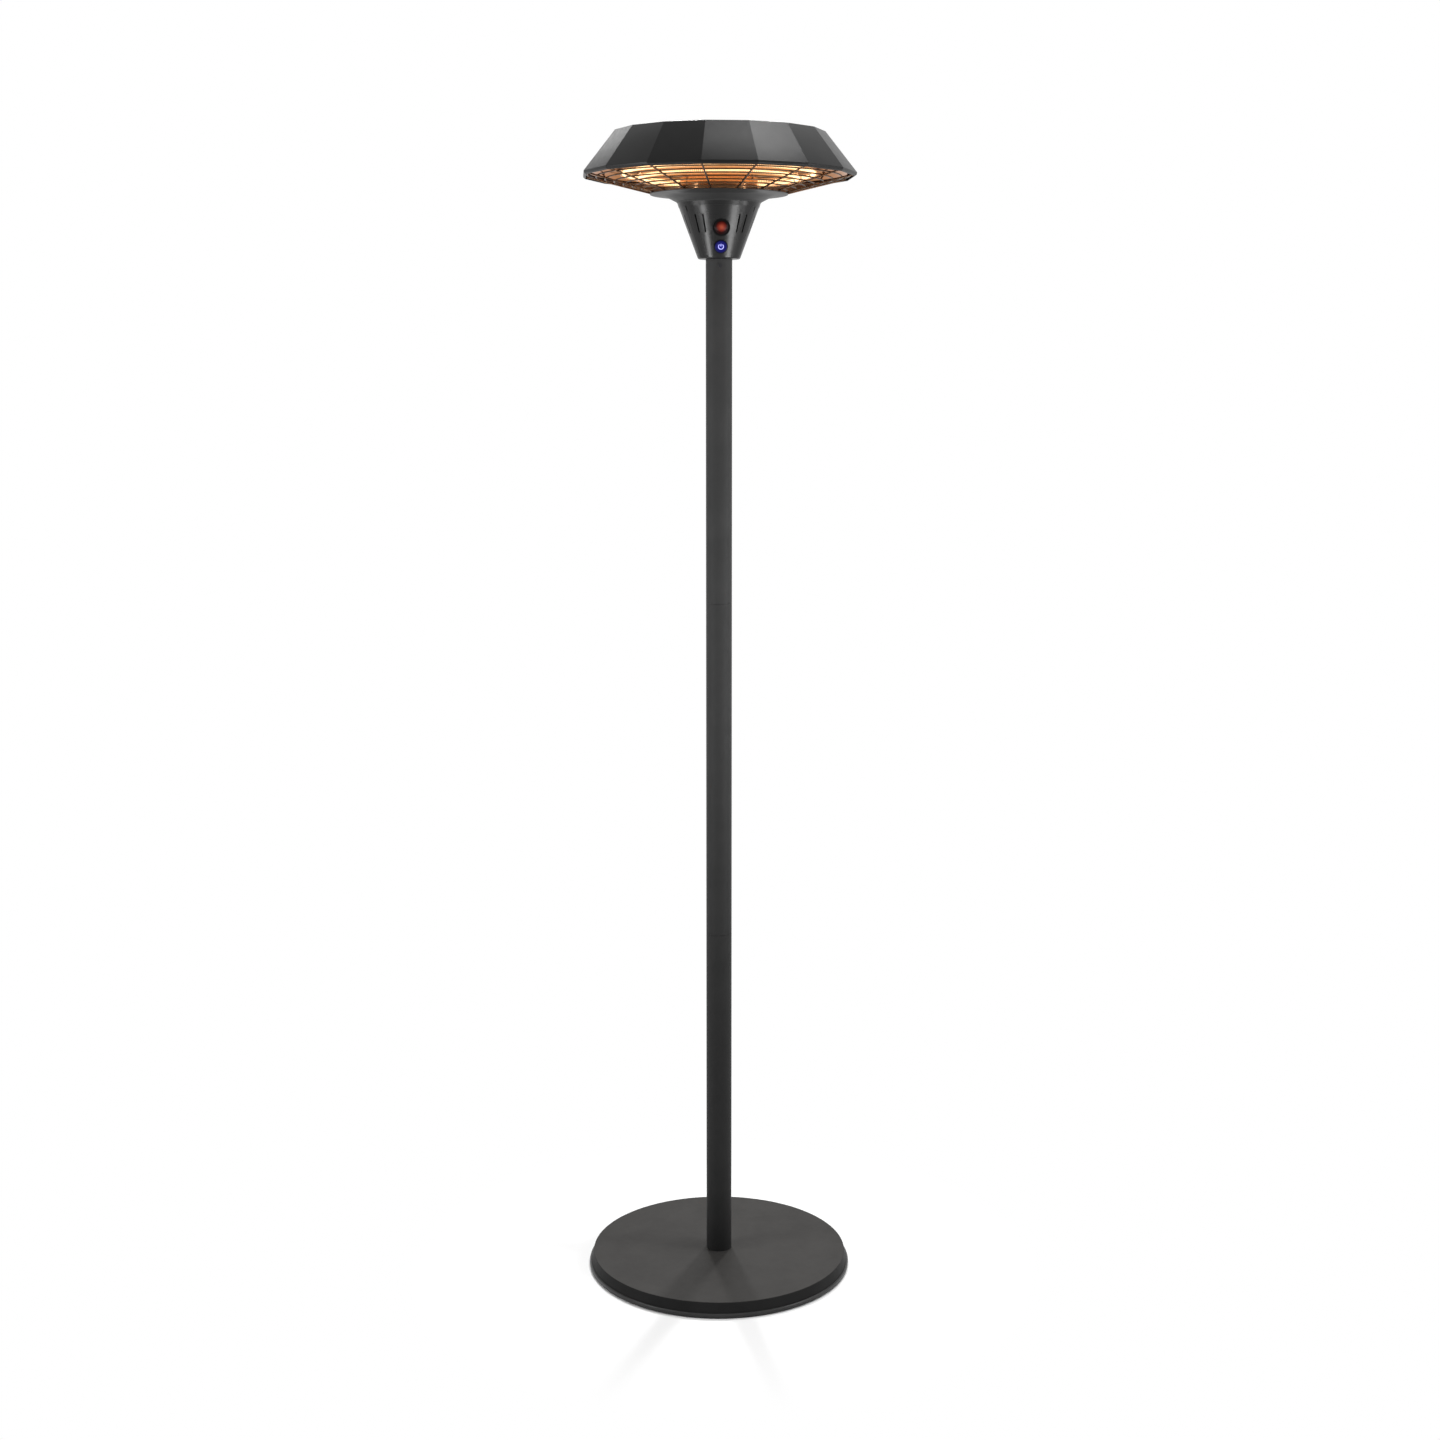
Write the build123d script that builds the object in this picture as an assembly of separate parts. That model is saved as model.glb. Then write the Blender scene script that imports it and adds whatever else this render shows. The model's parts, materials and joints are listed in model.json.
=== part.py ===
from build123d import *
from math import asin, atan2, cos, degrees, hypot, pi, radians, sin, tan
import os

# Free-standing infrared patio heater: a weighted disc base, a pole of three tubes, a conical control
# housing, and a faceted shade over two ring lamps behind a welded wire guard.
# Millimetres and degrees. Z is up, the origin is on the floor under the pole, the front faces -Y.
# A radius given for a faceted piece is measured to its corners.

# ---------------------------------------------------------------- driving dimensions: fits
slip_fit = 0.1              # radial clearance of a sleeve, pin or screw in its hole
working_gap = 0.3           # gap between neighbours that must not rub

# ---------------------------------------------------------------- driving dimensions: base
foot_count = 6
foot_radius = 14.0
foot_height = 3.0
foot_inset = 38.0           # foot's centre inside the skirt
base_skirt_radius = 247.0   # outside of the cover where the trim holds it
skirt_draft = 5.0           # how far the skirt leans in
base_height = 28.0
base_edge_radius = 1.4
cover_sheet = 1.5
plate_sheet = 2.0
trim_width = 3.0            # how far the trim stands out from the skirt
trim_height = 9.0
trim_floor_gap = 0.5
trim_lip_width = 7.0        # lip that turns in under the base plate
trim_chamfer = 1.5
ballast_margin = 8.0        # room between the ballast and the cover's upper edge
core_radius = 20.0          # opening in plate and ballast for the pole bolt
boss_count = 4
boss_start = 45.0           # angle of the first boss from the front
boss_circle_radius = 130.0
boss_radius = 6.0
boss_margin = 1.0           # room between a boss and the ballast
boss_screw_radius = 2.5
boss_screw_head_radius = 4.75
boss_screw_head_height = 2.0
boss_screw_tip_gap = 4.0    # from the screw's tip to the cover's sheet

# ---------------------------------------------------------------- driving dimensions: pole
pole_radius = 24.0
pole_wall = 1.5
pole_section_length = 628.0
pole_end_chamfer = 0.5      # shows as a fine groove at each joint
pole_section_names = ("lower", "middle", "upper")
coupler_length = 90.0
coupler_wall = 2.0
foot_plug_length = 30.0
pole_bolt_radius = 5.0
pole_bolt_grip = 20.0       # length of bolt screwed into the foot plug
pole_bolt_bore_gap = 2.0    # from the bolt's tip to the end of its bore
washer_radius = 9.5
washer_sheet = 2.0
bolt_head_radius = 8.0
bolt_head_height = 6.4
cable_radius = 3.5
cable_hole_margin = 1.0
cable_wall_gap = 1.4        # between the rising cable and the sleeves in the pole
cable_bend_radius = 10.0
groove_margin = 3.5         # room round the cable in the ballast's groove
gland_trim_gap = 0.8        # between the gland's nut and the trim below it
gland_thread_radius = 5.0
gland_nut_radius = 6.2
gland_nut_length = 6.5
gland_inner_length = 6.5    # of the thread inside the skirt
gland_chamfer = 1.0
locknut_radius = 7.7
locknut_length = 2.0
spigot_depth = 62.0         # length of the head's spigot inside the pole
spigot_flange_sheet = 4.0
set_screw_drop = 17.0       # below the top of the pole
set_screw_radius = 2.5
set_screw_head_radius = 3.5
set_screw_head_height = 1.2

# ---------------------------------------------------------------- driving dimensions: housing
housing_height = 91.0
housing_bottom_radius = 37.8
housing_top_radius = 72.0
housing_wall = 2.2
housing_floor = 4.5
housing_foot_rounding = 4.0
front_cover_angle = 120.0   # share of the circle that the front cover takes
seam_width = 0.6
seam_notch_width = 2.4      # the seam opens into a notch under the cap
seam_notch_depth = 9.0
slot_width = 3.0
slot_length = 34.0
slot_bottom = 44.5          # lower end of the vent slots above the housing's foot
slot_pitch = 14.2
front_slot_start = 30.0     # angles from the front; the last slot of a run is counted
front_slots = 2
rear_slot_start = 74.0
rear_slots = 6
housing_screw_radius = 2.0  # floor screws and cap screws alike
housing_screw_head_radius = 3.4
housing_screw_head_height = 2.2
screw_tip_gap = 2.0         # from a screw's tip to the end of its bore
bore_floor = 1.0            # material left under a blind bore
floor_screw_angles = (40.0, 110.0)   # on both sides, from the front
housing_boss_radius = 4.5
housing_boss_inset = 9.5    # boss centre inside the shell's upper edge
housing_boss_length = 12.0
housing_boss_angles = (40.0, 105.0, 160.0)   # on both sides, from the front
cap_height = 7.5
cap_step = 0.6              # the cap stands out from the shells
cap_flare = 2.4
cap_wall = 2.2
cap_deck = 2.5
wire_hole_margin = 0.4

# ---------------------------------------------------------------- driving dimensions: controls
button_height = 20.0        # button centre above the housing's foot
sensor_height = 52.5        # infrared window above the housing's foot
button_radius = 11.0
button_travel = 2.0
button_stand = 1.0          # cap above its barrel
button_cap_depth = 4.0
button_edge_radius = 0.8
barrel_wall = 1.4
barrel_stand = 0.8
barrel_depth = 8.0
barrel_floor = 1.5
stem_radius = 3.0
stem_protrusion = 3.0       # of the stem through the barrel's floor
plunger_radius = 1.8
plunger_length = 3.0
switch_size = 12.0
switch_height = 6.0
return_dome_sheet = 0.8
led_radius = 1.5
led_crown = 1.2             # rounding of the lens
led_stand = 0.5             # of the lens above the barrel's floor
led_offset = 8.2
sensor_bezel_radius = 15.6
sensor_bezel_wall = 3.4
sensor_bezel_depth = 11.0
sensor_bezel_floor = 1.5
lens_seat_width = 1.5
lens_seat_depth = 3.0
lens_dome_height = 4.0
sensor_can_radius = 4.6
sensor_can_height = 4.5
sensor_can_brim = 0.8       # width and height of its brim
board_width = 38.0
board_height = 66.0
board_sheet = 1.6
board_lift = 1.5            # of the board's middle above the middle of button and window
board_screw_spacing = 29.0
board_screw_span = 57.0
board_screw_radius = 1.6
board_screw_head_radius = 2.8
board_screw_head_height = 1.8
board_screw_grip = 5.0      # in the post
board_post_radius = 3.2
relay_size = (16.0, 20.0, 15.0)
relay_spacing = 17.5
relay_edge_gap = 8.0        # from the board's lower edge
transformer_size = (30.0, 26.0, 22.0)
transformer_rounding = 2.0
transformer_edge_gap = 9.0  # from the board's upper edge

# ---------------------------------------------------------------- driving dimensions: inner chassis
chassis_sheet = 1.5
chassis_width = 46.0
chassis_top_gap = 8.5       # from the chassis plate to the cap's deck
chassis_foot = 10.0
chassis_back = 24.0         # rear face of the chassis plate behind the pole's axis
terminal_size = (34.0, 13.0, 22.0)
terminal_height = 24.0      # underside of the terminal block above the spigot flange
terminal_count = 4
terminal_bore_depth = 6.0
terminal_grip = 5.0         # length of lead in its terminal
cutout_radius = 8.0
cutout_height = 7.0
cutout_offset = 40.0
cutout_tab_size = (4.0, 22.0, 1.0)
tilt_pivot_reach = 13.0     # behind the chassis plate
tilt_pin_radius = 1.5
tilt_pin_overhang = 1.0     # of the pin beyond each ear
tilt_hub_radius = 4.0
tilt_hub_width = 8.0
tilt_ear_sheet = 1.5
tilt_ear_height = 9.6
tilt_bracket_height = 16.0
tilt_arm_length = 18.0
tilt_arm_radius = 1.6
tilt_bob_radius = 5.0
tilt_bob_height = 10.0

# ---------------------------------------------------------------- driving dimensions: collar, shade
collar_radius = 124.0
collar_rise = 16.7
collar_sheet = 1.5
collar_neck_step = 2.5      # the neck's flare outside the cap
collar_neck_rise = 2.6
collar_knee_radius = 97.2
collar_knee_rise = 14.1
collar_knee_rounding = 30.0
column_sheet = 1.5
column_flange = 18.0        # width of the column's turned-in flanges
column_height = 95.0
reflector_sheet = 0.8
reflector_side_gap = 17.0   # from the ceiling's edge to the shade's facets
reflector_rim_width = 4.0
reflector_rim_rise = 54.0   # rim above the top of the cap
standoff_radius = 5.0
standoff_count = 4
standoff_start = 45.0       # angle of the first standoff from the front
outer_standoff_circle = 150.0
shade_screw_radius = 2.0
shade_screw_head_radius = 3.4
shade_screw_head_height = 2.4
shade_screw_grip = 8.0      # length of screw in its standoff
shade_sides = 16
shade_rim_radius = 247.7
shade_top_radius = 190.5
shade_rim_rise = 52.0       # lower edge of the facets above the top of the cap
shade_height = 72.0
shade_sheet = 1.2
shade_band_height = 4.0     # upright band under the facets
shade_band_draft = 0.5      # how far the band leans in
shade_lip_width = 3.6       # of the turned-in lip, at its corners
shade_lip_drop = 2.8

# ---------------------------------------------------------------- driving dimensions: guard, lamps
guard_ring_count = 8
guard_ring_wire = 2.5
guard_rim_wire = 4.0
guard_spoke_wire = 3.0
guard_wire_sides = 6        # flats round a wire
guard_inner_inset = 1.0     # of the smallest ring from the collar's rim
guard_lip_gap = 0.3         # between the largest ring and the shade's lip
guard_weld = 0.3            # depth that a weld sinks one wire into the other
guard_ring_sides = 48       # straight runs in each ring
guard_seat_gap = 0.1        # between a spoke and the collar's rim
lamp_radii = (171.0, 142.0)
lamp_rises = (52.0, 44.0)   # tube axes above the top of the cap
lamp_names = ("outer", "inner")
lamp_tube_radius = 5.5
lamp_glass = 1.1
lamp_ring_sides = 36        # straight runs in each arc
lamp_tube_sides = 8
lamp_bore_sides = 6
filament_radius = 1.5
filament_sides = 4
filament_supports = 6       # discs that centre the filament in its tube
filament_support_sheet = 1.0
lamp_rear = 90.0            # direction of the tube ends, from +X towards +Y
lamp_end_offset = 27.0      # tube ends beside the middle plane, at the rear
end_cap_size = (17.0, 16.0, 18.0)   # radial, along the tube, upright
end_cap_grip = 7.0          # length of tube inside its end cap
lamp_strip_width = 10.0
lamp_strip_sheet = 1.2
lamp_clip_mouth = 7.6       # width of a clip's open side
lead_radius = 1.25
lead_spacing = 6.0
lead_bend_radius = 7.0
lead_rise = 16.0            # of the highest leads above the reflector
lead_layer = 6.0            # between the two levels of leads
lead_hole_margin = 1.0
lead_end_gap = 1.0          # from a lead's end to the tube's axis

# ---------------------------------------------------------------- derived levels and radii
foot_circle_radius = base_skirt_radius - foot_inset
base_top_radius = base_skirt_radius - skirt_draft
ballast_radius = base_top_radius - cover_sheet - ballast_margin
gland_height = trim_height + gland_nut_radius + gland_trim_gap
gland_inner_end = base_skirt_radius - cover_sheet - gland_inner_length
plate_bottom = foot_height
plate_top = plate_bottom + plate_sheet
cover_underside = base_height - cover_sheet
pole_bore = pole_radius - pole_wall
pole_top = base_height + len(pole_section_names) * pole_section_length
sleeve_radius = pole_bore - slip_fit
cable_hole_radius = cable_radius + cable_hole_margin
cable_offset = sleeve_radius - coupler_wall - cable_wall_gap - cable_radius

housing_foot = pole_top - housing_floor
housing_top = housing_foot + housing_height
housing_slope = (housing_top_radius - housing_bottom_radius) / housing_height
housing_lean = atan2(housing_top_radius - housing_bottom_radius, housing_height)
housing_wall_across = housing_wall / cos(housing_lean)
flange_top = pole_top + spigot_flange_sheet
chassis_height = housing_top - chassis_top_gap - flange_top
cap_top = housing_top + cap_height
cap_bottom_radius = housing_top_radius + cap_step
cap_top_radius = cap_bottom_radius + cap_flare
column_radius = cap_bottom_radius - cap_wall - working_gap
column_bottom = housing_top + cap_deck
column_top = column_bottom + column_height
inner_standoff_circle = column_radius - column_flange / 2
collar_top = cap_top + collar_rise

shade_rim = cap_top + shade_rim_rise
shade_top = shade_rim + shade_height
shade_lip = shade_rim - shade_band_height - shade_lip_drop
shade_lip_radius = shade_rim_radius - shade_band_draft - shade_lip_width   # to its corners
shade_lean = atan2((shade_rim_radius - shade_top_radius) * cos(pi / shade_sides), shade_height)
shade_sheet_across = shade_sheet / cos(shade_lean)
shade_phase = 180.0 / shade_sides
reflector_rim = cap_top + reflector_rim_rise
reflector_top = column_top + reflector_sheet
guard_inner_radius = collar_radius - guard_inner_inset
guard_outer_radius = shade_lip_radius * cos(pi / shade_sides) - guard_lip_gap - guard_rim_wire / 2

board_back = barrel_depth + barrel_floor + stem_protrusion + plunger_length + switch_height
full_turn = 360.0
ON_FLOOR = (Align.CENTER, Align.CENTER, Align.MIN)


# ---------------------------------------------------------------- small builders
def outline_face(*outline, rounded=None, radius=0.0):
    """Face of a closed outline, with one corner rounded where it is given."""
    face = make_face(Polyline(*outline, close=True))
    if rounded:
        corner = face.vertices().sort_by_distance(Vector(*rounded))[0]
        face = fillet(corner, radius)
    return face


def spun(*outline, rounded=None, radius=0.0):
    """Solid turned about the Z axis from a closed (radius, height) outline."""
    return revolve(Plane.XZ * outline_face(*outline, rounded=rounded, radius=radius), Axis.Z)


def tube(outer, inner, bottom, top):
    """Upright tube on the Z axis."""
    return spun((inner, bottom), (outer, bottom), (outer, top), (inner, top))


def rod(radius, start, end, x=0.0, y=0.0):
    """Upright solid cylinder between two heights."""
    return Pos(x, y, start) * Cylinder(radius, end - start, align=ON_FLOOR)


def polar_points(radius, angles):
    """Points on a circle about Z, at angles counted from the front towards +X."""
    return [(radius * sin(radians(angle)), -radius * cos(radians(angle))) for angle in angles]


def both_sides(angles):
    """The angles and their mirror images."""
    return [side * angle for angle in angles for side in (1, -1)]


def every(count, start=0.0):
    """Evenly spaced angles round the whole circle."""
    return [start + index * full_turn / count for index in range(count)]


def rods(radius, start, end, points):
    """The same upright cylinder at each point."""
    return [rod(radius, start, end, x, y) for x, y in points]


def cap_screw(shank, length, head_radius, head_height):
    """Screw with its head's underside at the origin and its shank along +Z."""
    return rod(shank, 0, length) + rod(head_radius, -head_height, 0)


def faceted_ring(section, sides, phase=0.0, steps=None):
    """Flat-sided ring: a closed (radius, height) section carried round Z, or over the first steps."""
    steps = steps or sides
    angles = [radians(phase + index * full_turn / sides) for index in range(steps + 1)]
    stations = [[(r * cos(a), r * sin(a), z) for r, z in section] for a in angles]
    faces = []
    for near, far in zip(stations, stations[1:]):
        for i in range(len(section)):
            j = (i + 1) % len(section)
            faces.append(make_face(Polyline(near[i], near[j], far[j], far[i], close=True)))
    if steps < sides:
        faces.append(make_face(Polyline(*stations[0], close=True)))
        faces.append(make_face(Polyline(*stations[-1], close=True)))
    return Solid(Shell([face for sketch in faces for face in sketch.faces()]))


def wire_section(radius, height, width, lean, sides):
    """Section of a wire as a polygon of this width across flats, one flat along the lean."""
    corner_radius = width / 2 / cos(pi / sides)
    turns = [lean + (index + 0.5) * 2 * pi / sides - pi / 2 for index in range(sides)]
    return [(radius + corner_radius * cos(turn), height + corner_radius * sin(turn)) for turn in turns]


def frustum(bottom_radius, bottom, top_radius, top):
    """Solid between two polygons with the shade's number of sides."""
    lower = Pos(0, 0, bottom) * RegularPolygon(bottom_radius, shade_sides, rotation=shade_phase)
    upper = Pos(0, 0, top) * RegularPolygon(top_radius, shade_sides, rotation=shade_phase)
    return loft([lower.face(), upper.face()], ruled=True)


def housing_radius(height):
    """Outside radius of the housing at a height above its foot."""
    return housing_bottom_radius + height * housing_slope


def front_plane(height):
    """Plane on the housing's front, its Z axis square to the cone and its Y axis up the cone."""
    normal = (0, -cos(housing_lean), -sin(housing_lean))
    return Plane((0, -housing_radius(height), housing_foot + height), x_dir=(1, 0, 0), z_dir=normal)


def on_front(height, shape):
    """A shape modelled on the XY plane, set on the housing's front."""
    return front_plane(height).location * shape


# ---------------------------------------------------------------- base
def boss_points():
    return polar_points(boss_circle_radius, every(boss_count, boss_start))


def base_feet():
    feet = rods(foot_radius, 0, foot_height, polar_points(foot_circle_radius, every(foot_count)))
    return [chamfer(foot.edges().sort_by(Axis.Z)[0], foot_height / 4) for foot in feet]


def base_plate():
    plate = tube(base_skirt_radius - cover_sheet - working_gap, core_radius, plate_bottom, plate_top)
    holes = rods(boss_screw_radius + slip_fit, plate_bottom, plate_top, boss_points())
    return plate - holes


def base_ballast():
    top = cover_underside - working_gap
    slab = tube(ballast_radius, core_radius, plate_top, top)
    groove_height = gland_height + cable_radius + groove_margin - plate_top
    groove_width = 2 * (cable_radius + groove_margin)
    to_rear = (Align.CENTER, Align.MIN, Align.MIN)
    groove = Pos(0, 0, plate_top) * Box(groove_width, base_skirt_radius, groove_height, align=to_rear)
    return slab - groove - rods(boss_radius + boss_margin, plate_top, top, boss_points())


def base_cover():
    inner_top = base_top_radius - cover_sheet
    inner_skirt = base_skirt_radius - cover_sheet
    shell = spun(
        (0, base_height), (base_top_radius, base_height),
        (base_skirt_radius, trim_height), (base_skirt_radius, plate_bottom),
        (inner_skirt, plate_bottom), (inner_skirt, trim_height),
        (inner_top, cover_underside), (0, cover_underside),
        rounded=(base_top_radius, base_height), radius=base_edge_radius,
    )
    shell += rods(boss_radius, plate_top, cover_underside, boss_points())
    shell -= rods(boss_screw_radius + slip_fit, plate_top, cover_underside, boss_points())
    shell -= rod(pole_bolt_radius + slip_fit, cover_underside, base_height)
    shell -= rod(cable_hole_radius, cover_underside, base_height, y=cable_offset)
    gland_bore = Cylinder(gland_thread_radius + slip_fit, 2 * gland_inner_length, align=ON_FLOOR)
    return shell - Pos(0, gland_inner_end, gland_height) * Rot(-90, 0, 0) * gland_bore


def base_rim_trim():
    outside = base_skirt_radius + trim_width
    slot = base_skirt_radius + slip_fit
    lip = base_skirt_radius - trim_lip_width
    return spun(
        (lip, trim_floor_gap), (outside - trim_chamfer, trim_floor_gap),
        (outside, trim_floor_gap + trim_chamfer), (outside, trim_height - trim_chamfer),
        (outside - trim_chamfer, trim_height), (slot, trim_height),
        (slot, plate_bottom), (lip, plate_bottom),
    )


def base_screws():
    length = cover_underside - plate_bottom - boss_screw_tip_gap
    screw = cap_screw(boss_screw_radius, length, boss_screw_head_radius, boss_screw_head_height)
    return [Pos(x, y, plate_bottom) * screw for x, y in boss_points()]


def cable_gland():
    """Gland in the rear of the skirt: threaded barrel, outer nut and inner locknut as one."""
    nut_face = base_skirt_radius + slip_fit
    barrel = Cylinder(gland_thread_radius, nut_face - gland_inner_end, align=ON_FLOOR)
    locknut = extrude(RegularPolygon(locknut_radius, 6), amount=locknut_length)
    nut = Pos(0, 0, nut_face - gland_inner_end) * Cylinder(gland_nut_radius, gland_nut_length, align=ON_FLOOR)
    nut = chamfer(nut.edges().sort_by(Axis.Z)[-1], gland_chamfer)
    bore = Cylinder(cable_radius + slip_fit, 2 * base_skirt_radius)
    gland = barrel + locknut + nut - bore
    return Pos(0, gland_inner_end, gland_height) * Rot(-90, 0, 0) * gland


# ---------------------------------------------------------------- pole
def pole_joint(index):
    """Height of the joint at the top of a pole section, counted from 0 at the base."""
    return base_height + index * pole_section_length


def set_screw_hole():
    bore = Cylinder(set_screw_radius + slip_fit, pole_radius, align=ON_FLOOR)
    return Pos(0, 0, pole_top - set_screw_drop) * Rot(90, 0, 0) * bore


def pole_section(index):
    bottom, top = pole_joint(index), pole_joint(index + 1)
    shoulder = pole_radius - pole_end_chamfer
    section = spun(
        (pole_bore, bottom), (shoulder, bottom), (pole_radius, bottom + pole_end_chamfer),
        (pole_radius, top - pole_end_chamfer), (shoulder, top), (pole_bore, top),
    )
    return section - set_screw_hole()


def pole_coupler(index):
    middle = pole_joint(index + 1)
    half = coupler_length / 2
    return tube(sleeve_radius, sleeve_radius - coupler_wall, middle - half, middle + half)


def pole_foot_plug():
    plug = rod(sleeve_radius, base_height, base_height + foot_plug_length)
    plug -= rod(pole_bolt_radius + slip_fit, base_height, base_height + pole_bolt_grip + pole_bolt_bore_gap)
    return plug - rod(cable_hole_radius, base_height, base_height + foot_plug_length, y=cable_offset)


def pole_bolt():
    seat = cover_underside - washer_sheet
    hexagon = RegularPolygon(bolt_head_radius, 6, major_radius=False)
    head = Pos(0, 0, seat - bolt_head_height) * extrude(hexagon, amount=bolt_head_height)
    return head + rod(pole_bolt_radius, seat, base_height + pole_bolt_grip)


def pole_bolt_washer():
    return tube(washer_radius, pole_bolt_radius + slip_fit, cover_underside - washer_sheet, cover_underside)


def supply_cable():
    """Cable that the base and the pole hold, from the gland to the terminal block."""
    start = gland_inner_end + gland_inner_length
    end = flange_top + terminal_height
    route = FilletPolyline(
        (0, start, gland_height), (0, cable_offset, gland_height), (0, cable_offset, end),
        radius=cable_bend_radius,
    )
    return sweep(Plane(route @ 0, z_dir=route % 0) * Circle(cable_radius), path=route)


def head_spigot():
    """Tube that stands in the pole, with the flange that the housing's floor is screwed to."""
    bore = sleeve_radius - coupler_wall
    flange_radius = housing_radius(housing_floor) - housing_wall_across - working_gap
    spigot = tube(sleeve_radius, bore, pole_top - spigot_depth, flange_top)
    spigot += tube(flange_radius, bore, pole_top, flange_top)
    spigot -= rods(housing_screw_radius + slip_fit, pole_top, flange_top, floor_points())
    return spigot - set_screw_hole()


def pole_set_screw():
    length = pole_wall + slip_fit + coupler_wall
    screw = cap_screw(set_screw_radius, length, set_screw_head_radius, set_screw_head_height)
    return Pos(0, -pole_radius, pole_top - set_screw_drop) * Rot(-90, 0, 0) * screw


# ---------------------------------------------------------------- housing
def floor_points():
    inside = housing_radius(housing_floor) - housing_wall_across
    middle = (inside + pole_radius) / 2
    return polar_points(middle, both_sides(floor_screw_angles))


def housing_screw(length):
    """Screw with its shank pointing down from the origin."""
    head = (housing_screw_head_radius, housing_screw_head_height)
    return Rot(180, 0, 0) * cap_screw(housing_screw_radius, length, *head)


def floor_screws():
    length = spigot_flange_sheet + housing_floor - bore_floor
    return [Pos(x, y, flange_top) * housing_screw(length) for x, y in floor_points()]


def housing_boss_points():
    return polar_points(housing_top_radius - housing_boss_inset, both_sides(housing_boss_angles))


def vent_slots(start, count):
    """Cutters for a run of slots up the cone, on both sides."""
    height = slot_bottom + slot_length / 2 * cos(housing_lean)
    slot = extrude(SlotOverall(slot_length, slot_width, rotation=90), amount=housing_wall * 3, both=True)
    cutter = on_front(height, slot)
    return [Rot(0, 0, turn) * cutter for turn in both_sides([start + i * slot_pitch for i in range(count)])]


def seam_blades():
    """Cutters that part the front cover from the rear shell, with a notch under the cap."""
    reach = housing_top_radius + cap_flare
    corner = (Align.CENTER, Align.MAX, Align.MIN)
    blade = Pos(0, 0, housing_foot) * Box(seam_width, reach, housing_height, align=corner)
    notch = Pos(0, 0, housing_top - seam_notch_depth)
    notch *= Box(seam_notch_width, reach, seam_notch_depth, align=corner)
    return [Rot(0, 0, side * front_cover_angle / 2) * (blade + notch) for side in (1, -1)]


def housing_halves():
    """The conical shell with its floor and bosses, cut into the front cover and the rear shell."""
    floor_top_radius = housing_radius(housing_floor) - housing_wall_across
    shell = spun(
        (housing_bottom_radius, housing_foot), (housing_top_radius, housing_top),
        (housing_top_radius - housing_wall_across, housing_top), (floor_top_radius, pole_top),
        (pole_radius + 2 * working_gap, pole_top), (pole_radius + 2 * working_gap, housing_foot),
        rounded=(housing_bottom_radius, housing_foot), radius=housing_foot_rounding,
    )
    shell += rods(housing_boss_radius, housing_top - housing_boss_length, housing_top, housing_boss_points())
    bore = housing_screw_radius + slip_fit
    shell -= rods(bore, housing_foot + bore_floor, pole_top, floor_points())
    bore_end = housing_top - housing_boss_length + bore_floor
    shell -= rods(bore, bore_end, housing_top, housing_boss_points())
    shell -= seam_blades()
    halves = shell.solids().sort_by(Axis.Y)
    return halves[0], halves[-1]


def board_points():
    """Screw places of the control board on the front plane through the button."""
    x = board_screw_spacing / 2
    middle = board_middle()
    return [(side * x, middle + end * board_screw_span / 2) for side in (1, -1) for end in (1, -1)]


def board_middle():
    """Middle of the control board up the cone from the button."""
    return (sensor_height - button_height) / cos(housing_lean) / 2 + board_lift


def front_cover(cover):
    """The front half with its openings and the posts for the control board."""
    posts = rods(board_post_radius, -board_back, -housing_wall / 2, board_points())
    posts = [on_front(button_height, post) for post in posts]
    outside = spun(
        (0, housing_foot), (housing_bottom_radius, housing_foot),
        (housing_top_radius, housing_top), (0, housing_top),
    )
    cover += [post & outside for post in posts]
    bore_end = board_screw_grip + bore_floor - board_back
    screw_bores = rods(board_screw_radius, -board_back, bore_end, board_points())
    cover -= [on_front(button_height, bore) for bore in screw_bores]
    barrel_hole = Cylinder(button_radius + barrel_wall + 2 * slip_fit, barrel_depth * 4)
    cover -= on_front(button_height, barrel_hole)
    bezel_hole = Cylinder(sensor_bezel_radius + slip_fit, sensor_bezel_depth * 4)
    cover -= on_front(sensor_height, bezel_hole)
    return cover - vent_slots(front_slot_start, front_slots)


def rear_shell(shell):
    return shell - vent_slots(rear_slot_start, rear_slots)


def housing_cap():
    """Ring on top of both shells, with a deck that carries the column."""
    last_lead = terminal_places()[-1]
    wire_hole_radius = hypot(last_lead, lead_y()) + lead_radius + wire_hole_margin
    cap = spun(
        (wire_hole_radius, housing_top), (cap_bottom_radius, housing_top),
        (cap_top_radius, cap_top), (cap_top_radius - cap_wall, cap_top),
        (cap_bottom_radius - cap_wall, column_bottom), (wire_hole_radius, column_bottom),
    )
    return cap - rods(housing_screw_radius + slip_fit, housing_top, column_bottom, housing_boss_points())


def housing_screws():
    """Screws through the column's foot and the cap into the shells' bosses."""
    length = column_sheet + cap_deck + housing_boss_length - bore_floor - screw_tip_gap
    seat = column_bottom + column_sheet
    return [Pos(x, y, seat) * housing_screw(length) for x, y in housing_boss_points()]


# ---------------------------------------------------------------- controls on the housing's front
def button_barrel():
    """Fixed barrel of the push button, with a floor that guides its stem."""
    outer = button_radius + barrel_wall
    bottom = -barrel_depth - barrel_floor
    bore = button_radius + slip_fit
    barrel = spun(
        (stem_radius + slip_fit, bottom), (outer, bottom), (outer, barrel_stand),
        (bore, barrel_stand), (bore, -barrel_depth), (stem_radius + slip_fit, -barrel_depth),
    )
    barrel -= rod(led_radius + 2 * slip_fit, bottom, -barrel_depth, y=led_offset)
    return on_front(button_height, barrel)


def power_button():
    """Lit cap and its stem: the piece that a finger presses."""
    top = barrel_stand + button_stand
    cap = rod(button_radius, top - button_cap_depth, top)
    cap = fillet(cap.edges().sort_by(Axis.Z)[-1], button_edge_radius)
    return on_front(button_height, cap + rod(stem_radius, stem_end(), top - button_cap_depth))


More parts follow.
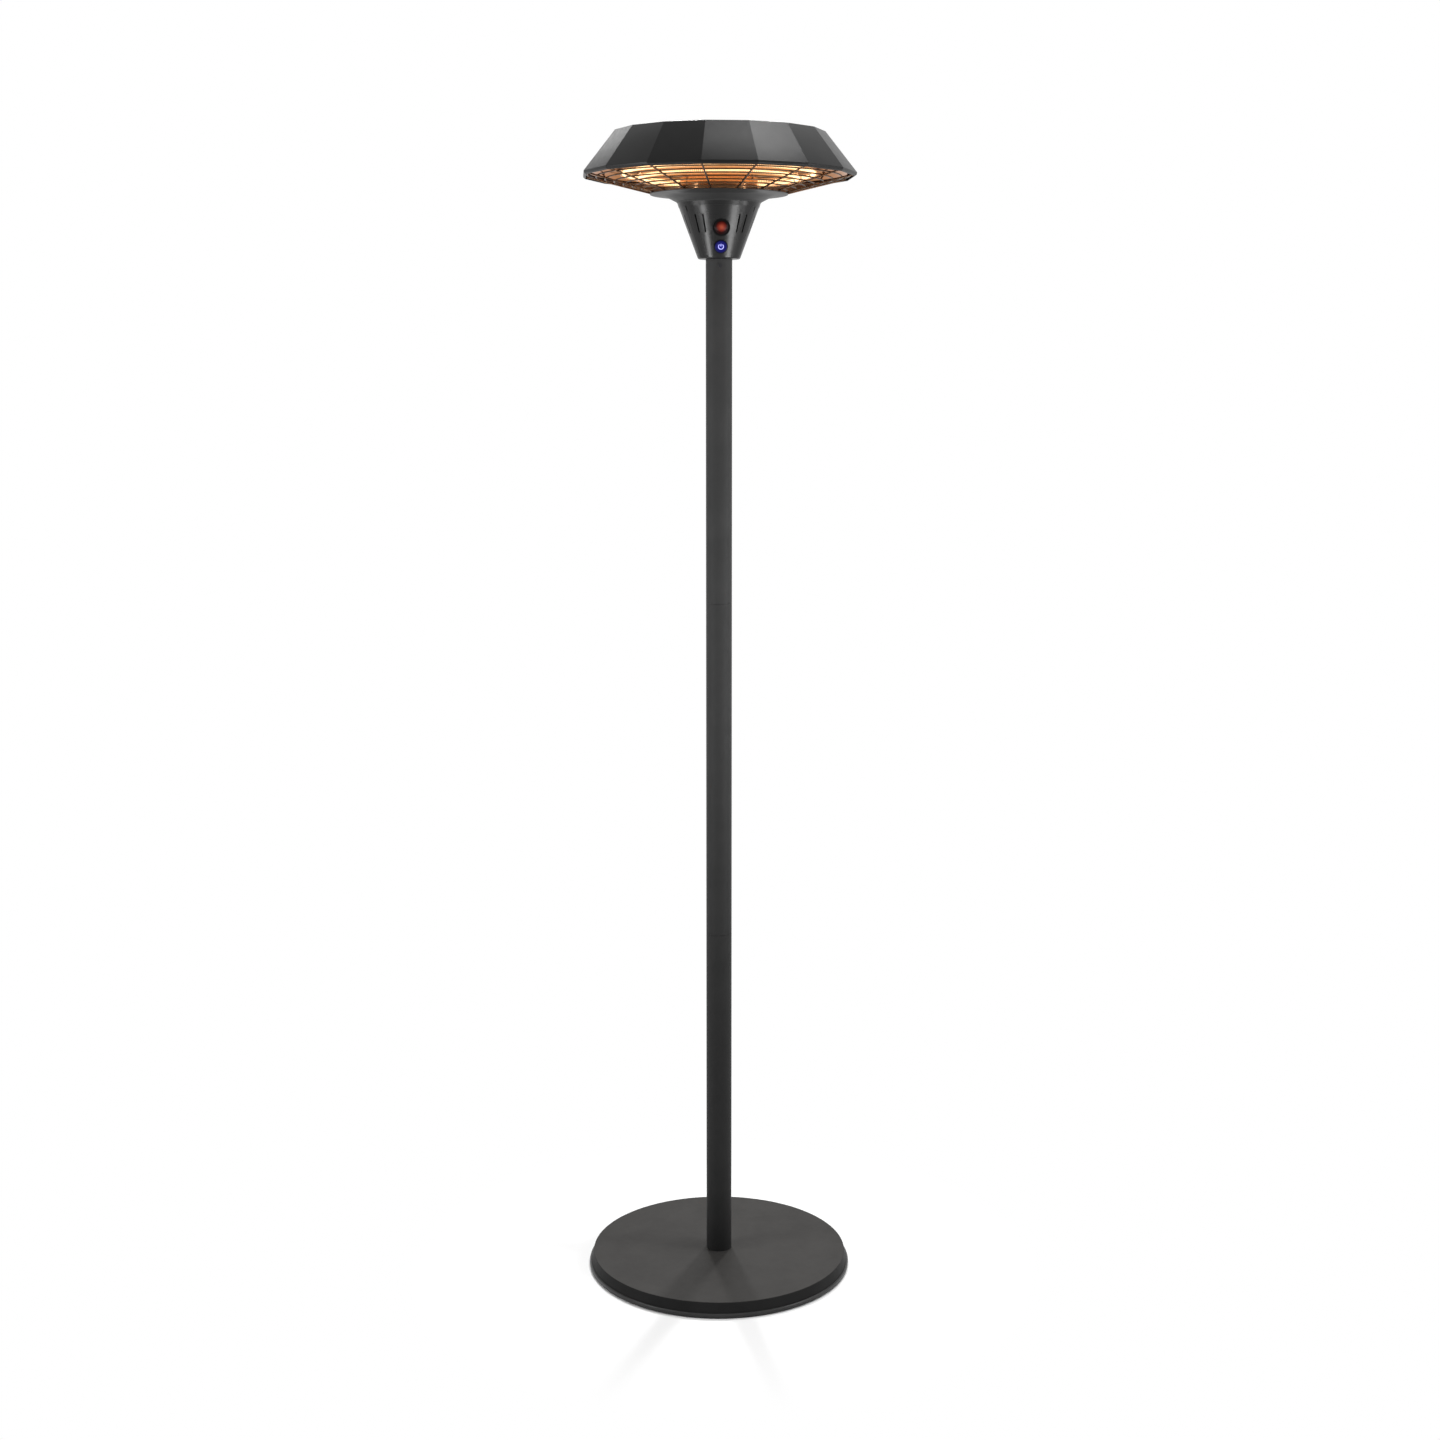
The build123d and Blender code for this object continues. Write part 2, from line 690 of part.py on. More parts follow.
def stem_end():
    """Depth of the stem's end, just through the barrel's floor."""
    return -barrel_depth - barrel_floor - stem_protrusion


def button_return():
    """Rubber dome round the stem that lifts the cap."""
    bottom = -barrel_depth
    top = barrel_stand + button_stand - button_cap_depth
    wide = button_radius - working_gap * 3
    narrow = stem_radius + working_gap * 2
    sheet = return_dome_sheet
    dome = spun(
        (wide - sheet, bottom), (wide, bottom), (narrow + sheet, top), (narrow, top),
        (narrow, top - sheet), (wide - 2 * sheet, bottom + sheet / 2),
    )
    return on_front(button_height, dome - rod(led_radius + 2 * slip_fit, bottom, top, y=led_offset))


def switch_plunger():
    plunger = rod(plunger_radius, stem_end() - plunger_length - button_travel, stem_end())
    return on_front(button_height, plunger)


def switch_body():
    top = stem_end() - plunger_length
    body = Pos(0, 0, top - switch_height) * Box(switch_size, switch_size, switch_height, align=ON_FLOOR)
    depth = 2 * button_travel + working_gap
    body -= rod(plunger_radius + slip_fit, top - depth, top)
    return on_front(button_height, body)


def power_led():
    led = rod(led_radius, -board_back, led_stand - barrel_depth, y=led_offset)
    return on_front(button_height, fillet(led.edges().sort_by(Axis.Z)[-1], led_crown))


def control_board():
    blank = Pos(0, board_middle(), -board_back - board_sheet)
    blank *= Box(board_width, board_height, board_sheet, align=ON_FLOOR)
    blank -= rods(board_screw_radius + slip_fit, -board_back - board_sheet, -board_back, board_points())
    return on_front(button_height, blank)


def board_screws():
    length = board_sheet + board_screw_grip
    screw = cap_screw(board_screw_radius, length, board_screw_head_radius, board_screw_head_height)
    places = [Pos(x, y, -board_back - board_sheet) for x, y in board_points()]
    return [on_front(button_height, place * screw) for place in places]


def board_relays():
    width, height, depth = relay_size
    back = -board_back - board_sheet
    relay = Box(width, height, depth, align=(Align.CENTER, Align.CENTER, Align.MAX))
    y = board_middle() - board_height / 2 + height / 2 + relay_edge_gap
    return [on_front(button_height, Pos(side * relay_spacing / 2, y, back) * relay) for side in (1, -1)]


def transformer():
    """Potted supply of the control electronics."""
    width, height, depth = transformer_size
    y = board_middle() + board_height / 2 - height / 2 - transformer_edge_gap
    block = Box(width, height, depth, align=(Align.CENTER, Align.CENTER, Align.MAX))
    block = fillet(block.edges().filter_by(Axis.Z), transformer_rounding)
    return on_front(button_height, Pos(0, y, -board_back - board_sheet) * block)


def sensor_bezel():
    """Cup that holds the lens in front and the sensor on its floor."""
    lens_bore = sensor_bezel_radius - sensor_bezel_wall
    seat_bore = lens_bore - lens_seat_width
    floor_level = sensor_bezel_floor - sensor_bezel_depth
    cup = spun(
        (0, -sensor_bezel_depth), (sensor_bezel_radius, -sensor_bezel_depth),
        (sensor_bezel_radius, barrel_stand), (lens_bore, barrel_stand), (lens_bore, -lens_seat_depth),
        (seat_bore, -lens_seat_depth), (seat_bore, floor_level),
        (0, floor_level),
    )
    return on_front(sensor_height, cup)


def sensor_lens():
    radius = sensor_bezel_radius - sensor_bezel_wall - slip_fit
    bulge = (radius ** 2 + lens_dome_height ** 2) / (2 * lens_dome_height)
    crown = barrel_stand + lens_dome_height
    edge = [Line((0, -lens_seat_depth), (radius, -lens_seat_depth))]
    edge.append(Line((radius, -lens_seat_depth), (radius, barrel_stand)))
    edge.append(RadiusArc((radius, barrel_stand), (0, crown), -bulge))
    edge.append(Line((0, crown), (0, -lens_seat_depth)))
    return on_front(sensor_height, revolve(Plane.XZ * make_face(edge), Axis.Z))


def sensor_can():
    floor_level = sensor_bezel_floor - sensor_bezel_depth
    can = rod(sensor_can_radius, floor_level, floor_level + sensor_can_height)
    brim = rod(sensor_can_radius + sensor_can_brim, floor_level, floor_level + sensor_can_brim)
    return on_front(sensor_height, can + brim)


# ---------------------------------------------------------------- inner chassis
def chassis_plate():
    """Upright sheet behind the cable, standing on the spigot's flange by its turned foot."""
    face = Pos(0, chassis_back, flange_top)
    rear = (Align.CENTER, Align.MAX, Align.MIN)
    upright = face * Box(chassis_width, chassis_sheet, chassis_height, align=rear)
    foot_width = chassis_width / 2
    foot = face * Box(foot_width, chassis_foot, chassis_sheet, align=(Align.CENTER, Align.MIN, Align.MIN))
    foot &= rod(housing_radius(housing_floor) - 2 * housing_wall, flange_top, flange_top + chassis_sheet)
    return upright + foot


def terminal_block():
    width, depth, height = terminal_size
    front = chassis_back - chassis_sheet
    place = Pos(0, front, flange_top + terminal_height)
    block = place * Box(width, depth, height, align=(Align.CENTER, Align.MAX, Align.MIN))
    openings = [(x, lead_y()) for x in terminal_places()]
    top = flange_top + terminal_height + height
    return block - rods(lead_radius + slip_fit, top - terminal_bore_depth, top, openings)


def terminal_places():
    """Side offsets of the terminals from the middle plane, from left to right."""
    middle = (terminal_count - 1) / 2
    return [(index - middle) * lead_spacing for index in range(terminal_count)]


def lead_y():
    """Row in which the lamp leads leave the terminal block."""
    return chassis_back - chassis_sheet - terminal_size[1] / 2


def thermal_cutout():
    """Disc thermostat under the cap's deck."""
    body = rod(cutout_radius, housing_top - cutout_height, housing_top, x=-cutout_offset)
    tabs = Pos(-cutout_offset, 0, housing_top - cutout_height) * Box(*cutout_tab_size, align=ON_FLOOR)
    return body + tabs


def tilt_pivot():
    """Place of the tilt pendulum's axis, which runs along X."""
    height = flange_top + chassis_height - tilt_bracket_height / 2
    return Pos(0, chassis_back + tilt_pivot_reach, height)


def along_x(radius, length):
    return Rot(0, 90, 0) * Cylinder(radius, length)


def tilt_bracket():
    """Bracket with two ears on the rear of the chassis plate."""
    inside = tilt_hub_width / 2 + working_gap
    back = Pos(0, -tilt_pivot_reach, 0) * Box(
        2 * (inside + tilt_ear_sheet), tilt_ear_sheet, tilt_bracket_height,
        align=(Align.CENTER, Align.MIN, Align.CENTER),
    )
    reach = tilt_pivot_reach + tilt_hub_radius
    ear = Pos(inside + tilt_ear_sheet / 2, -tilt_pivot_reach, 0) * Box(
        tilt_ear_sheet, reach, tilt_ear_height, align=(Align.CENTER, Align.MIN, Align.CENTER)
    )
    bracket = back + ear + mirror(ear, about=Plane.YZ)
    return tilt_pivot() * (bracket - along_x(tilt_pin_radius, 4 * tilt_hub_width))


def tilt_pin():
    length = tilt_hub_width + 2 * (working_gap + tilt_ear_sheet + tilt_pin_overhang)
    return tilt_pivot() * along_x(tilt_pin_radius, length)


def tilt_pendulum():
    """Weight that hangs from the pin and swings fore and aft when the heater tips."""
    arm = Pos(0, 0, -tilt_arm_length) * Cylinder(tilt_arm_radius, tilt_arm_length, align=ON_FLOOR)
    bob = Pos(0, 0, -tilt_arm_length - tilt_bob_height)
    bob *= Cylinder(tilt_bob_radius, tilt_bob_height, align=ON_FLOOR)
    pendulum = along_x(tilt_hub_radius, tilt_hub_width) + arm + bob
    return tilt_pivot() * (pendulum - along_x(tilt_pin_radius + slip_fit / 2, 2 * tilt_hub_width))


# ---------------------------------------------------------------- collar, column and reflector
def collar_lean():
    """Slope of the collar's outer slope, from its knee to its rim."""
    return atan2(collar_rise - collar_knee_rise, collar_radius - collar_knee_radius)


def collar():
    """Flared dish on the cap that carries the inner end of the guard."""
    bore = column_radius + working_gap
    neck = cap_top_radius + collar_neck_step
    skin = collar_sheet / cos(collar_lean())
    under = [
        (bore, cap_top), (cap_top_radius, cap_top), (neck, cap_top + collar_neck_rise),
        (collar_knee_radius, cap_top + collar_knee_rise - skin), (collar_radius, collar_top - skin),
    ]
    over = [
        (collar_radius, collar_top), (collar_knee_radius, cap_top + collar_knee_rise),
        (neck - collar_sheet / 2, cap_top + collar_neck_rise + skin),
        (cap_top_radius - collar_sheet, cap_top + collar_sheet), (bore, cap_top + collar_sheet),
    ]
    face = outline_face(*under, *over, rounded=under[3], radius=collar_knee_rounding)
    upper_knee = face.vertices().sort_by_distance(Vector(*over[1]))[0]
    face = fillet(upper_knee, collar_knee_rounding)
    return revolve(Plane.XZ * face, Axis.Z)


def centre_column():
    """Polished tube between the cap and the reflector, with a turned-in flange at each end."""
    inner = column_radius - column_sheet
    hole = column_radius - column_flange
    column = spun(
        (hole, column_bottom), (column_radius, column_bottom), (column_radius, column_top),
        (hole, column_top), (hole, column_top - column_sheet), (inner, column_top - column_sheet),
        (inner, column_bottom + column_sheet), (hole, column_bottom + column_sheet),
    )
    foot = (column_bottom, column_bottom + column_sheet)
    column -= rods(housing_screw_radius + slip_fit, *foot, housing_boss_points())
    head = (column_top - column_sheet, column_top)
    return column - rods(shade_screw_radius + slip_fit, *head, standoff_points(inner_standoff_circle))


def shade_inner_flat(height):
    """Distance from the axis to the inside of the shade's facets at a height."""
    share = (height - shade_rim) / shade_height
    corner = shade_rim_radius + share * (shade_top_radius - shade_rim_radius)
    return (corner - shade_sheet_across) * cos(pi / shade_sides)


def reflector():
    """Spun mirror over the lamps: flat ceiling, conical side and a narrow flat rim."""
    rim = shade_inner_flat(reflector_rim + reflector_sheet) - working_gap
    side = rim - reflector_rim_width
    ceiling = shade_inner_flat(reflector_top) - reflector_side_gap
    hole = column_radius - column_flange
    low, high = reflector_rim, column_top
    skin = reflector_sheet
    pan = spun(
        (rim, low), (side, low), (ceiling, high), (hole, high),
        (hole, high + skin), (ceiling + skin / 2, high + skin),
        (side + skin, low + skin), (rim, low + skin),
    )
    pan -= rods(shade_screw_radius + slip_fit, high, high + skin, all_standoff_points())
    lead_holes = [lead_drop(*end) for end in lamp_ends()]
    return pan - rods(lead_radius + lead_hole_margin, high, high + skin, lead_holes)


def standoff_points(radius):
    return polar_points(radius, every(standoff_count, standoff_start))


def all_standoff_points():
    return standoff_points(inner_standoff_circle) + standoff_points(outer_standoff_circle)


def shade_standoffs():
    """Posts between the reflector and the shade's top, bored for a screw at each end."""
    bottom, top = reflector_top, shade_top - shade_sheet
    post = rod(standoff_radius, bottom, top) - rod(shade_screw_radius + slip_fit, bottom, top)
    return [Pos(x, y, 0) * post for x, y in all_standoff_points()]


def shade_screws():
    """Countersunk screws in the shade's top and pan-head screws under the reflector."""
    tip = shade_top - shade_sheet - shade_screw_grip
    sunk = spun(
        (0, shade_top), (shade_screw_radius + shade_sheet, shade_top),
        (shade_screw_radius, shade_top - shade_sheet), (shade_screw_radius, tip), (0, tip),
    )
    screws = [Pos(x, y, 0) * sunk for x, y in all_standoff_points()]
    for circle, sheet in ((inner_standoff_circle, column_sheet), (outer_standoff_circle, 0)):
        length = sheet + reflector_sheet + shade_screw_grip
        screw = cap_screw(shade_screw_radius, length, shade_screw_head_radius, shade_screw_head_height)
        screws += [Pos(x, y, column_top - sheet) * screw for x, y in standoff_points(circle)]
    return screws


# ---------------------------------------------------------------- shade
def shade_band_inside():
    """Corner radius of the inside of the upright band at its lower edge."""
    return shade_rim_radius - shade_band_draft - shade_sheet_across


def shade():
    """Folded sheet of flat facets, with a band and a turned-in lip along its lower edge."""
    band = shade_rim - shade_band_height
    band_radius = shade_rim_radius - shade_band_draft
    skin = shade_sheet_across
    fold = band + shade_sheet / 2
    outside = frustum(shade_rim_radius, shade_rim, shade_top_radius, shade_top)
    outside += frustum(band_radius, band, shade_rim_radius, shade_rim)
    outside += frustum(shade_lip_radius, shade_lip, band_radius, band)
    inside = frustum(shade_rim_radius - skin, shade_rim, shade_top_radius - skin, shade_top - shade_sheet)
    inside += frustum(shade_band_inside(), fold, shade_rim_radius - skin, shade_rim)
    inside += frustum(shade_lip_radius, shade_lip + shade_sheet, shade_band_inside(), fold)
    inside += frustum(shade_lip_radius, shade_lip, shade_lip_radius, shade_lip + shade_sheet)
    sink = spun(
        (0, shade_top), (shade_screw_radius + shade_sheet + slip_fit, shade_top),
        (shade_screw_radius + slip_fit, shade_top - shade_sheet), (0, shade_top - shade_sheet),
    )
    return outside - inside - [Pos(x, y, 0) * sink for x, y in all_standoff_points()]


# ---------------------------------------------------------------- welded wire guard
def guard_seats():
    """The two places that the ends of a spoke lie on: the collar's rim and the shade's lip."""
    inner = guard_inner_radius - guard_ring_wire
    low = collar_top - (collar_radius - inner) * tan(collar_lean())
    outer = (shade_lip_radius + shade_band_inside()) / 2
    high = (shade_lip + shade_sheet + shade_rim - shade_band_height + shade_sheet / 2) / 2
    return (inner, low + guard_seat_gap), (outer, high + working_gap)


def guard_lean():
    (inner, low), (outer, high) = guard_seats()
    return atan2(high - low, outer - inner)


def guard_height(radius, above):
    """Height of a wire's axis at a radius, this far above the line of the spokes' undersides."""
    (inner, low), (outer, high) = guard_seats()
    return low + (radius - inner) * (high - low) / (outer - inner) + above / cos(guard_lean())


def guard_rings():
    """Ring wires, evenly spaced up the cone, each one welded on top of the spokes."""
    step = (guard_outer_radius - guard_inner_radius) / (guard_ring_count - 1)
    rings = []
    for index in range(guard_ring_count):
        radius = guard_inner_radius + index * step
        wire = guard_rim_wire if index == guard_ring_count - 1 else guard_ring_wire
        above = guard_spoke_wire + wire / 2 - guard_weld
        section = wire_section(radius, guard_height(radius, above), wire, guard_lean(), guard_wire_sides)
        rings.append(faceted_ring(section, guard_ring_sides, 180.0 / guard_ring_sides))
    return rings


def guard_spokes():
    """Straight wires to the shade's corners, lying on the collar's rim and on the shade's lip."""
    (inner, low), (outer, high) = guard_seats()
    length = hypot(outer - inner, high - low)
    blank = extrude(RegularPolygon(guard_spoke_wire / 2, guard_wire_sides, major_radius=False), amount=length)
    blank = Pos(0, guard_spoke_wire / 2) * blank
    direction = (cos(guard_lean()), 0, sin(guard_lean()))
    spoke = Plane((inner, 0, low), x_dir=(0, 1, 0), z_dir=direction).location * blank
    return [Rot(0, 0, shade_phase + index * full_turn / shade_sides) * spoke for index in range(shade_sides)]


# ---------------------------------------------------------------- ring lamps
def lamp_ends():
    """Radius and side of the four tube ends, beside the middle plane at the rear."""
    return [(radius, side) for radius in lamp_radii for side in (1, -1)]


def lamp_gap(radius):
    """Half of the angle that a ring lamp leaves open at the rear."""
    return degrees(asin(lamp_end_offset / radius))


def lamp_ring_step(radius):
    """Angle of one flat of a lamp's arc."""
    return (full_turn - 2 * lamp_gap(radius)) / lamp_ring_sides


def lamp_arc(index, width, sides):
    """Flat-sided arc on a lamp's axis, from one tube end round the front to the other."""
    radius = lamp_radii[index]
    section = wire_section(radius, cap_top + lamp_rises[index], width, 0, sides)
    start = lamp_rear + lamp_gap(radius)
    return faceted_ring(section, full_turn / lamp_ring_step(radius), start, lamp_ring_sides)


def lamp_tube(index):
    glass = lamp_arc(index, 2 * lamp_tube_radius, lamp_tube_sides)
    return glass - lamp_arc(index, 2 * (lamp_tube_radius - lamp_glass), lamp_bore_sides)


def lamp_filament(index):
    """Heating element with the discs that centre it in the glass."""
    radius = lamp_radii[index]
    step = lamp_ring_step(radius)
    disc = Rot(90, 0, 0) * Cylinder(lamp_tube_radius - lamp_glass - working_gap, filament_support_sheet)
    disc = Pos(radius * cos(radians(step / 2)), 0, cap_top + lamp_rises[index]) * disc
    spacing = lamp_ring_sides / filament_supports
    runs = [int((i + 0.5) * spacing) + 0.5 for i in range(filament_supports)]
    turns = [lamp_rear + lamp_gap(radius) + run * step for run in runs]
    return lamp_arc(index, 2 * filament_radius, filament_sides) + [Rot(0, 0, turn) * disc for turn in turns]


def at_tube_end(radius, side):
    """Location of a tube's end: X outward from the pole's axis, Y along the tube's last flat."""
    rise = cap_top + lamp_rises[lamp_radii.index(radius)]
    turn = lamp_rear - side * lamp_gap(radius)
    return Rot(0, 0, turn) * Pos(radius, 0, rise) * Rot(0, 0, -side * lamp_ring_step(radius) / 2)


def lamp_end_caps():
    """Ceramic blocks on the tube ends, each with a socket for the tube and a bore for its lead."""
    wide, long, high = end_cap_size
    caps = []
    for radius, side in lamp_ends():
        block = Pos(0, side * (long / 2 - end_cap_grip), 0) * Box(wide, long, high)
        socket = Rot(90, 0, 0) * Cylinder(lamp_socket_radius(), 2 * end_cap_grip)
        bore = rod(lead_radius + slip_fit, -high / 2, high / 2, y=side * lead_inset())
        caps.append(at_tube_end(radius, side) * (block - socket - bore))
    return caps


def lamp_socket_radius():
    """Bore round a lamp's tube, clear of the corners of its section."""
    return lamp_tube_radius / cos(pi / lamp_tube_sides) + working_gap


def lead_inset():
    """Distance of a lead's bore beyond the tube's end."""
    return (end_cap_size[1] - end_cap_grip) / 2


def lead_drop(radius, side):
    """Plan position of a lead where it comes down to its end cap."""
    place = (at_tube_end(radius, side) * Pos(0, side * lead_inset(), 0)).position
    return place.X, place.Y


def lamp_strips():
    """Steel strips under the reflector that hold the end caps by their inner faces."""
    wide, long, high = end_cap_size
    back = (Align.MAX, Align.CENTER, Align.MIN)
    strips = []
    for radius, side in lamp_ends():
        leg = column_top - cap_top - lamp_rises[lamp_radii.index(radius)] + high / 2
        upright = Box(lamp_strip_sheet, lamp_strip_width, leg, align=back)
        tab = Box(lamp_strip_width, lamp_strip_width, lamp_strip_sheet, align=back)
        strip = upright + Pos(0, 0, leg - lamp_strip_sheet) * tab
        foot = Pos(-wide / 2, side * (long / 2 - end_cap_grip), -high / 2)
        strips.append(at_tube_end(radius, side) * foot * strip)
    return strips


def lamp_clips():
    """Spring clips at the left and the right that hang from the reflector and hug each tube."""
    clips = []
    for radius, rise in zip(lamp_radii, lamp_rises):
        drop = column_top - cap_top - rise
        inner = lamp_socket_radius()
        jaw = Circle(inner + lamp_strip_sheet) - Circle(inner)
        jaw -= Pos(0, -2 * inner) * Rectangle(lamp_clip_mouth, 4 * inner)
        jaw += Pos(0, (drop + inner) / 2) * Rectangle(lamp_strip_sheet, drop - inner)
        jaw += Pos(0, drop - lamp_strip_sheet / 2) * Rectangle(lamp_strip_width, lamp_strip_sheet)
        clip = extrude(Plane.XZ * jaw, amount=lamp_strip_width / 2, both=True)
        step = lamp_ring_step(radius)
        turn = lamp_rear + lamp_gap(radius) + (lamp_ring_sides // 4 - 0.5) * step
        on_tube = Pos(radius * cos(radians(step / 2)), 0, cap_top + rise) * clip
        clips += [Rot(0, 0, angle) * on_tube for angle in (turn, 180 - turn)]
    return clips


def lamp_leads():
    """One lead from the terminal block to each end cap, over the reflector and down through it."""
    start = flange_top + terminal_height + terminal_size[2] - terminal_grip
    ends = sorted(lamp_ends(), key=lambda end: end[0] * end[1])
    leads = []
    for across, (radius, side) in zip(terminal_places(), ends):
        x, y = lead_drop(radius, side)
        index = lamp_radii.index(radius)
        level = reflector_top + lead_rise - index * lead_layer
        finish = cap_top + lamp_rises[index] + lead_end_gap
        route = FilletPolyline(
            (across, lead_y(), start), (across, lead_y(), level), (x, y, level), (x, y, finish),
            radius=lead_bend_radius,
        )
        leads.append(sweep(Plane(route @ 0, z_dir=route % 0) * Circle(lead_radius), path=route))
    return leads


# ---------------------------------------------------------------- all pieces
def pieces():
    """Every node of the heater with its solid, or with the solids of a set of equal pieces."""
    front_half, rear_half = housing_halves()
    nodes = {
        "base_feet": base_feet(),
        "base_plate": base_plate(),
        "base_ballast": base_ballast(),
        "base_cover": base_cover(),
        "base_rim_trim": base_rim_trim(),
        "base_screws": base_screws(),
        "cable_gland": cable_gland(),
        "pole_foot_plug": pole_foot_plug(),
        "pole_bolt": pole_bolt(),
        "pole_bolt_washer": pole_bolt_washer(),
        "supply_cable": supply_cable(),
        "head_spigot": head_spigot(),
        "pole_set_screw": pole_set_screw(),
        "housing_front_cover": front_cover(front_half),
        "housing_rear_shell": rear_shell(rear_half),
        "housing_cap": housing_cap(),
        "housing_screws": housing_screws(),
        "floor_screws": floor_screws(),
        "button_barrel": button_barrel(),
        "power_button": power_button(),
        "button_return_dome": button_return(),
        "switch_plunger": switch_plunger(),
        "switch_body": switch_body(),
        "power_led": power_led(),
        "control_board": control_board(),
        "board_screws": board_screws(),
        "board_relays": board_relays(),
        "transformer": transformer(),
        "sensor_bezel": sensor_bezel(),
        "sensor_lens": sensor_lens(),
        "sensor_can": sensor_can(),
        "chassis_plate": chassis_plate(),
        "terminal_block": terminal_block(),
        "thermal_cutout": thermal_cutout(),
        "tilt_bracket": tilt_bracket(),
        "tilt_pin": tilt_pin(),
        "tilt_pendulum": tilt_pendulum(),
        "collar": collar(),
        "centre_column": centre_column(),
        "reflector": reflector(),
        "shade": shade(),
        "shade_standoffs": shade_standoffs(),
        "shade_screws": shade_screws(),
        "guard_rings": guard_rings(),
        "guard_spokes": guard_spokes(),
        "lamp_end_caps": lamp_end_caps(),
        "lamp_strips": lamp_strips(),
        "lamp_clips": lamp_clips(),
        "lamp_leads": lamp_leads(),
    }
    for index, name in enumerate(pole_section_names):
        nodes[f"pole_{name}"] = pole_section(index)
    for index, name in enumerate(pole_section_names[:-1]):
        nodes[f"pole_coupler_{name}"] = pole_coupler(index)
    for index, name in enumerate(lamp_names):
        nodes[f"lamp_{name}"] = lamp_tube(index)
        nodes[f"filament_{name}"] = lamp_filament(index)
    return nodes


os.makedirs("parts", exist_ok=True)
for node, shape in pieces().items():
    body = Compound(children=shape) if isinstance(shape, list) else shape
    export_step(body, f"parts/{node}.step")
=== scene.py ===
# %% [markdown]
# # A patio heater, from frame to picture
# The heater stands on a round base. A slim pole carries a conical housing, a faceted shade and two
# glowing ring lamps behind a wire guard. The frame holds every piece at its real size and place, in
# metres. This script adds the finishes, and models again what the frame keeps plain: wires, lamps, shade
# and button.

# %% Load the frame
import json
from math import atan2, cos, degrees, hypot, pi, radians, sin, tan

import bpy
from mathutils import Matrix, Vector


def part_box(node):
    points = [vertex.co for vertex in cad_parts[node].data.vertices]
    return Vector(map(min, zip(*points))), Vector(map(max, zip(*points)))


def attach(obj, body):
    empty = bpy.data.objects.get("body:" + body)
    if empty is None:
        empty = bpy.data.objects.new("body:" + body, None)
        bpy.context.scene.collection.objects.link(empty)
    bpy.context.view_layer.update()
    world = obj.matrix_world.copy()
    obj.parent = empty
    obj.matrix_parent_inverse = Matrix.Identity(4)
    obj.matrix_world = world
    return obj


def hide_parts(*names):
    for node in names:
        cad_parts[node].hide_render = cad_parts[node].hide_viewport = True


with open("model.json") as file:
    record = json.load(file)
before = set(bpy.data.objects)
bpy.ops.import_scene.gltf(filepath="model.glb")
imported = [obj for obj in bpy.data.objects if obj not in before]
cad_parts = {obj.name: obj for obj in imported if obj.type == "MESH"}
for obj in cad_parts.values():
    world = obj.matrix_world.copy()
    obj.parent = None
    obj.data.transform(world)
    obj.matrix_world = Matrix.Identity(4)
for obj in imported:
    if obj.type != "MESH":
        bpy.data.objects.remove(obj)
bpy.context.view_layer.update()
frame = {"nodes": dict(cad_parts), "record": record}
nodes = frame["nodes"]

# %% [markdown]
# ## Measuring the frame
# New pieces must sit where the frame's pieces sit. Typed numbers would be left behind by a change of the
# frame, so the places are measured. Almost all of the heater is turned about the pole's axis, so a few
# measurements are enough: how far out a node reaches, how near it comes, and its levels.

# %% Helpers that measure


def levels(node):
    """Lowest and highest level of a node."""
    low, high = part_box(node)
    return low.z, high.z


def radial_points(node):
    """Every corner of a node's mesh as (distance from the axis, level)."""
    return [(hypot(v.co.x, v.co.y), v.co.z) for v in nodes[node].data.vertices]


def widest(node):
    """The corner that lies furthest from the axis."""
    return max(radial_points(node))


def narrowest(node):
    """The corner that lies nearest to the axis."""
    return min(radial_points(node))


shade_low, shade_high = levels("shade")
print("shade from", round(shade_low, 4), "to", round(shade_high, 4))

# %% [markdown]
# ## The camera
# The photograph was taken from a standing person's eye height, nearly 4 m away, a few degrees to the
# left of the front. The lens is pointed down by a few degrees, so that both the shade and the base are
# in the frame. A camera can also be aimed with a constraint, but this one's place and angles were solved
# from the ellipses of the base and the shade, so they are plain numbers, in metres, degrees, millimetres
# and pixels.

# %% Camera
camera_distance = 3.742
camera_height = 1.705
camera_left = 4.3
camera_pitch = 8.5
lens_length = 50.85
film_width = 36.0
frame_pixels = 1440
optical_centre = (719.0, 676.8)

lens = bpy.data.cameras.new("camera")
lens.sensor_width = film_width
lens.lens = lens_length
lens.shift_x = (frame_pixels / 2 - optical_centre[0]) / frame_pixels
lens.shift_y = (optical_centre[1] - frame_pixels / 2) / frame_pixels
camera = bpy.data.objects.new("camera", lens)
turn = radians(camera_left)
camera.location = (-camera_distance * sin(turn), -camera_distance * cos(turn), camera_height)
camera.rotation_euler = (radians(90 - camera_pitch), 0, -turn)
bpy.context.scene.collection.objects.link(camera)
bpy.context.scene.camera = camera
print("camera at", [round(value, 3) for value in camera.location])

# %% [markdown]
# ## Studio light
# One bright dome would light everything alike, but a dark satin object shows mostly the reflections of
# its lights, so each light is placed for one surface. Two tall strips at the sides draw the pale edges
# of the pole. Two low boxes in front of it draw the streaks down the housing, because its wall leans and
# mirrors what is below. Two boxes overhead light the facets of the shade, one behind lights its left
# end, and two small ones high behind throw the pole's two faint shadows to the front. The sky is plain
# white where it is seen, and gives little light of its own.

# %% World
background_white = 1.0
fill_strength = 0.12


def combine(tree, operation, first, second):
    """A Math node on two sockets."""
    node = tree.nodes.new("ShaderNodeMath")
    node.operation = operation
    tree.links.new(first, node.inputs[0])
    tree.links.new(second, node.inputs[1])
    return node.outputs[0]


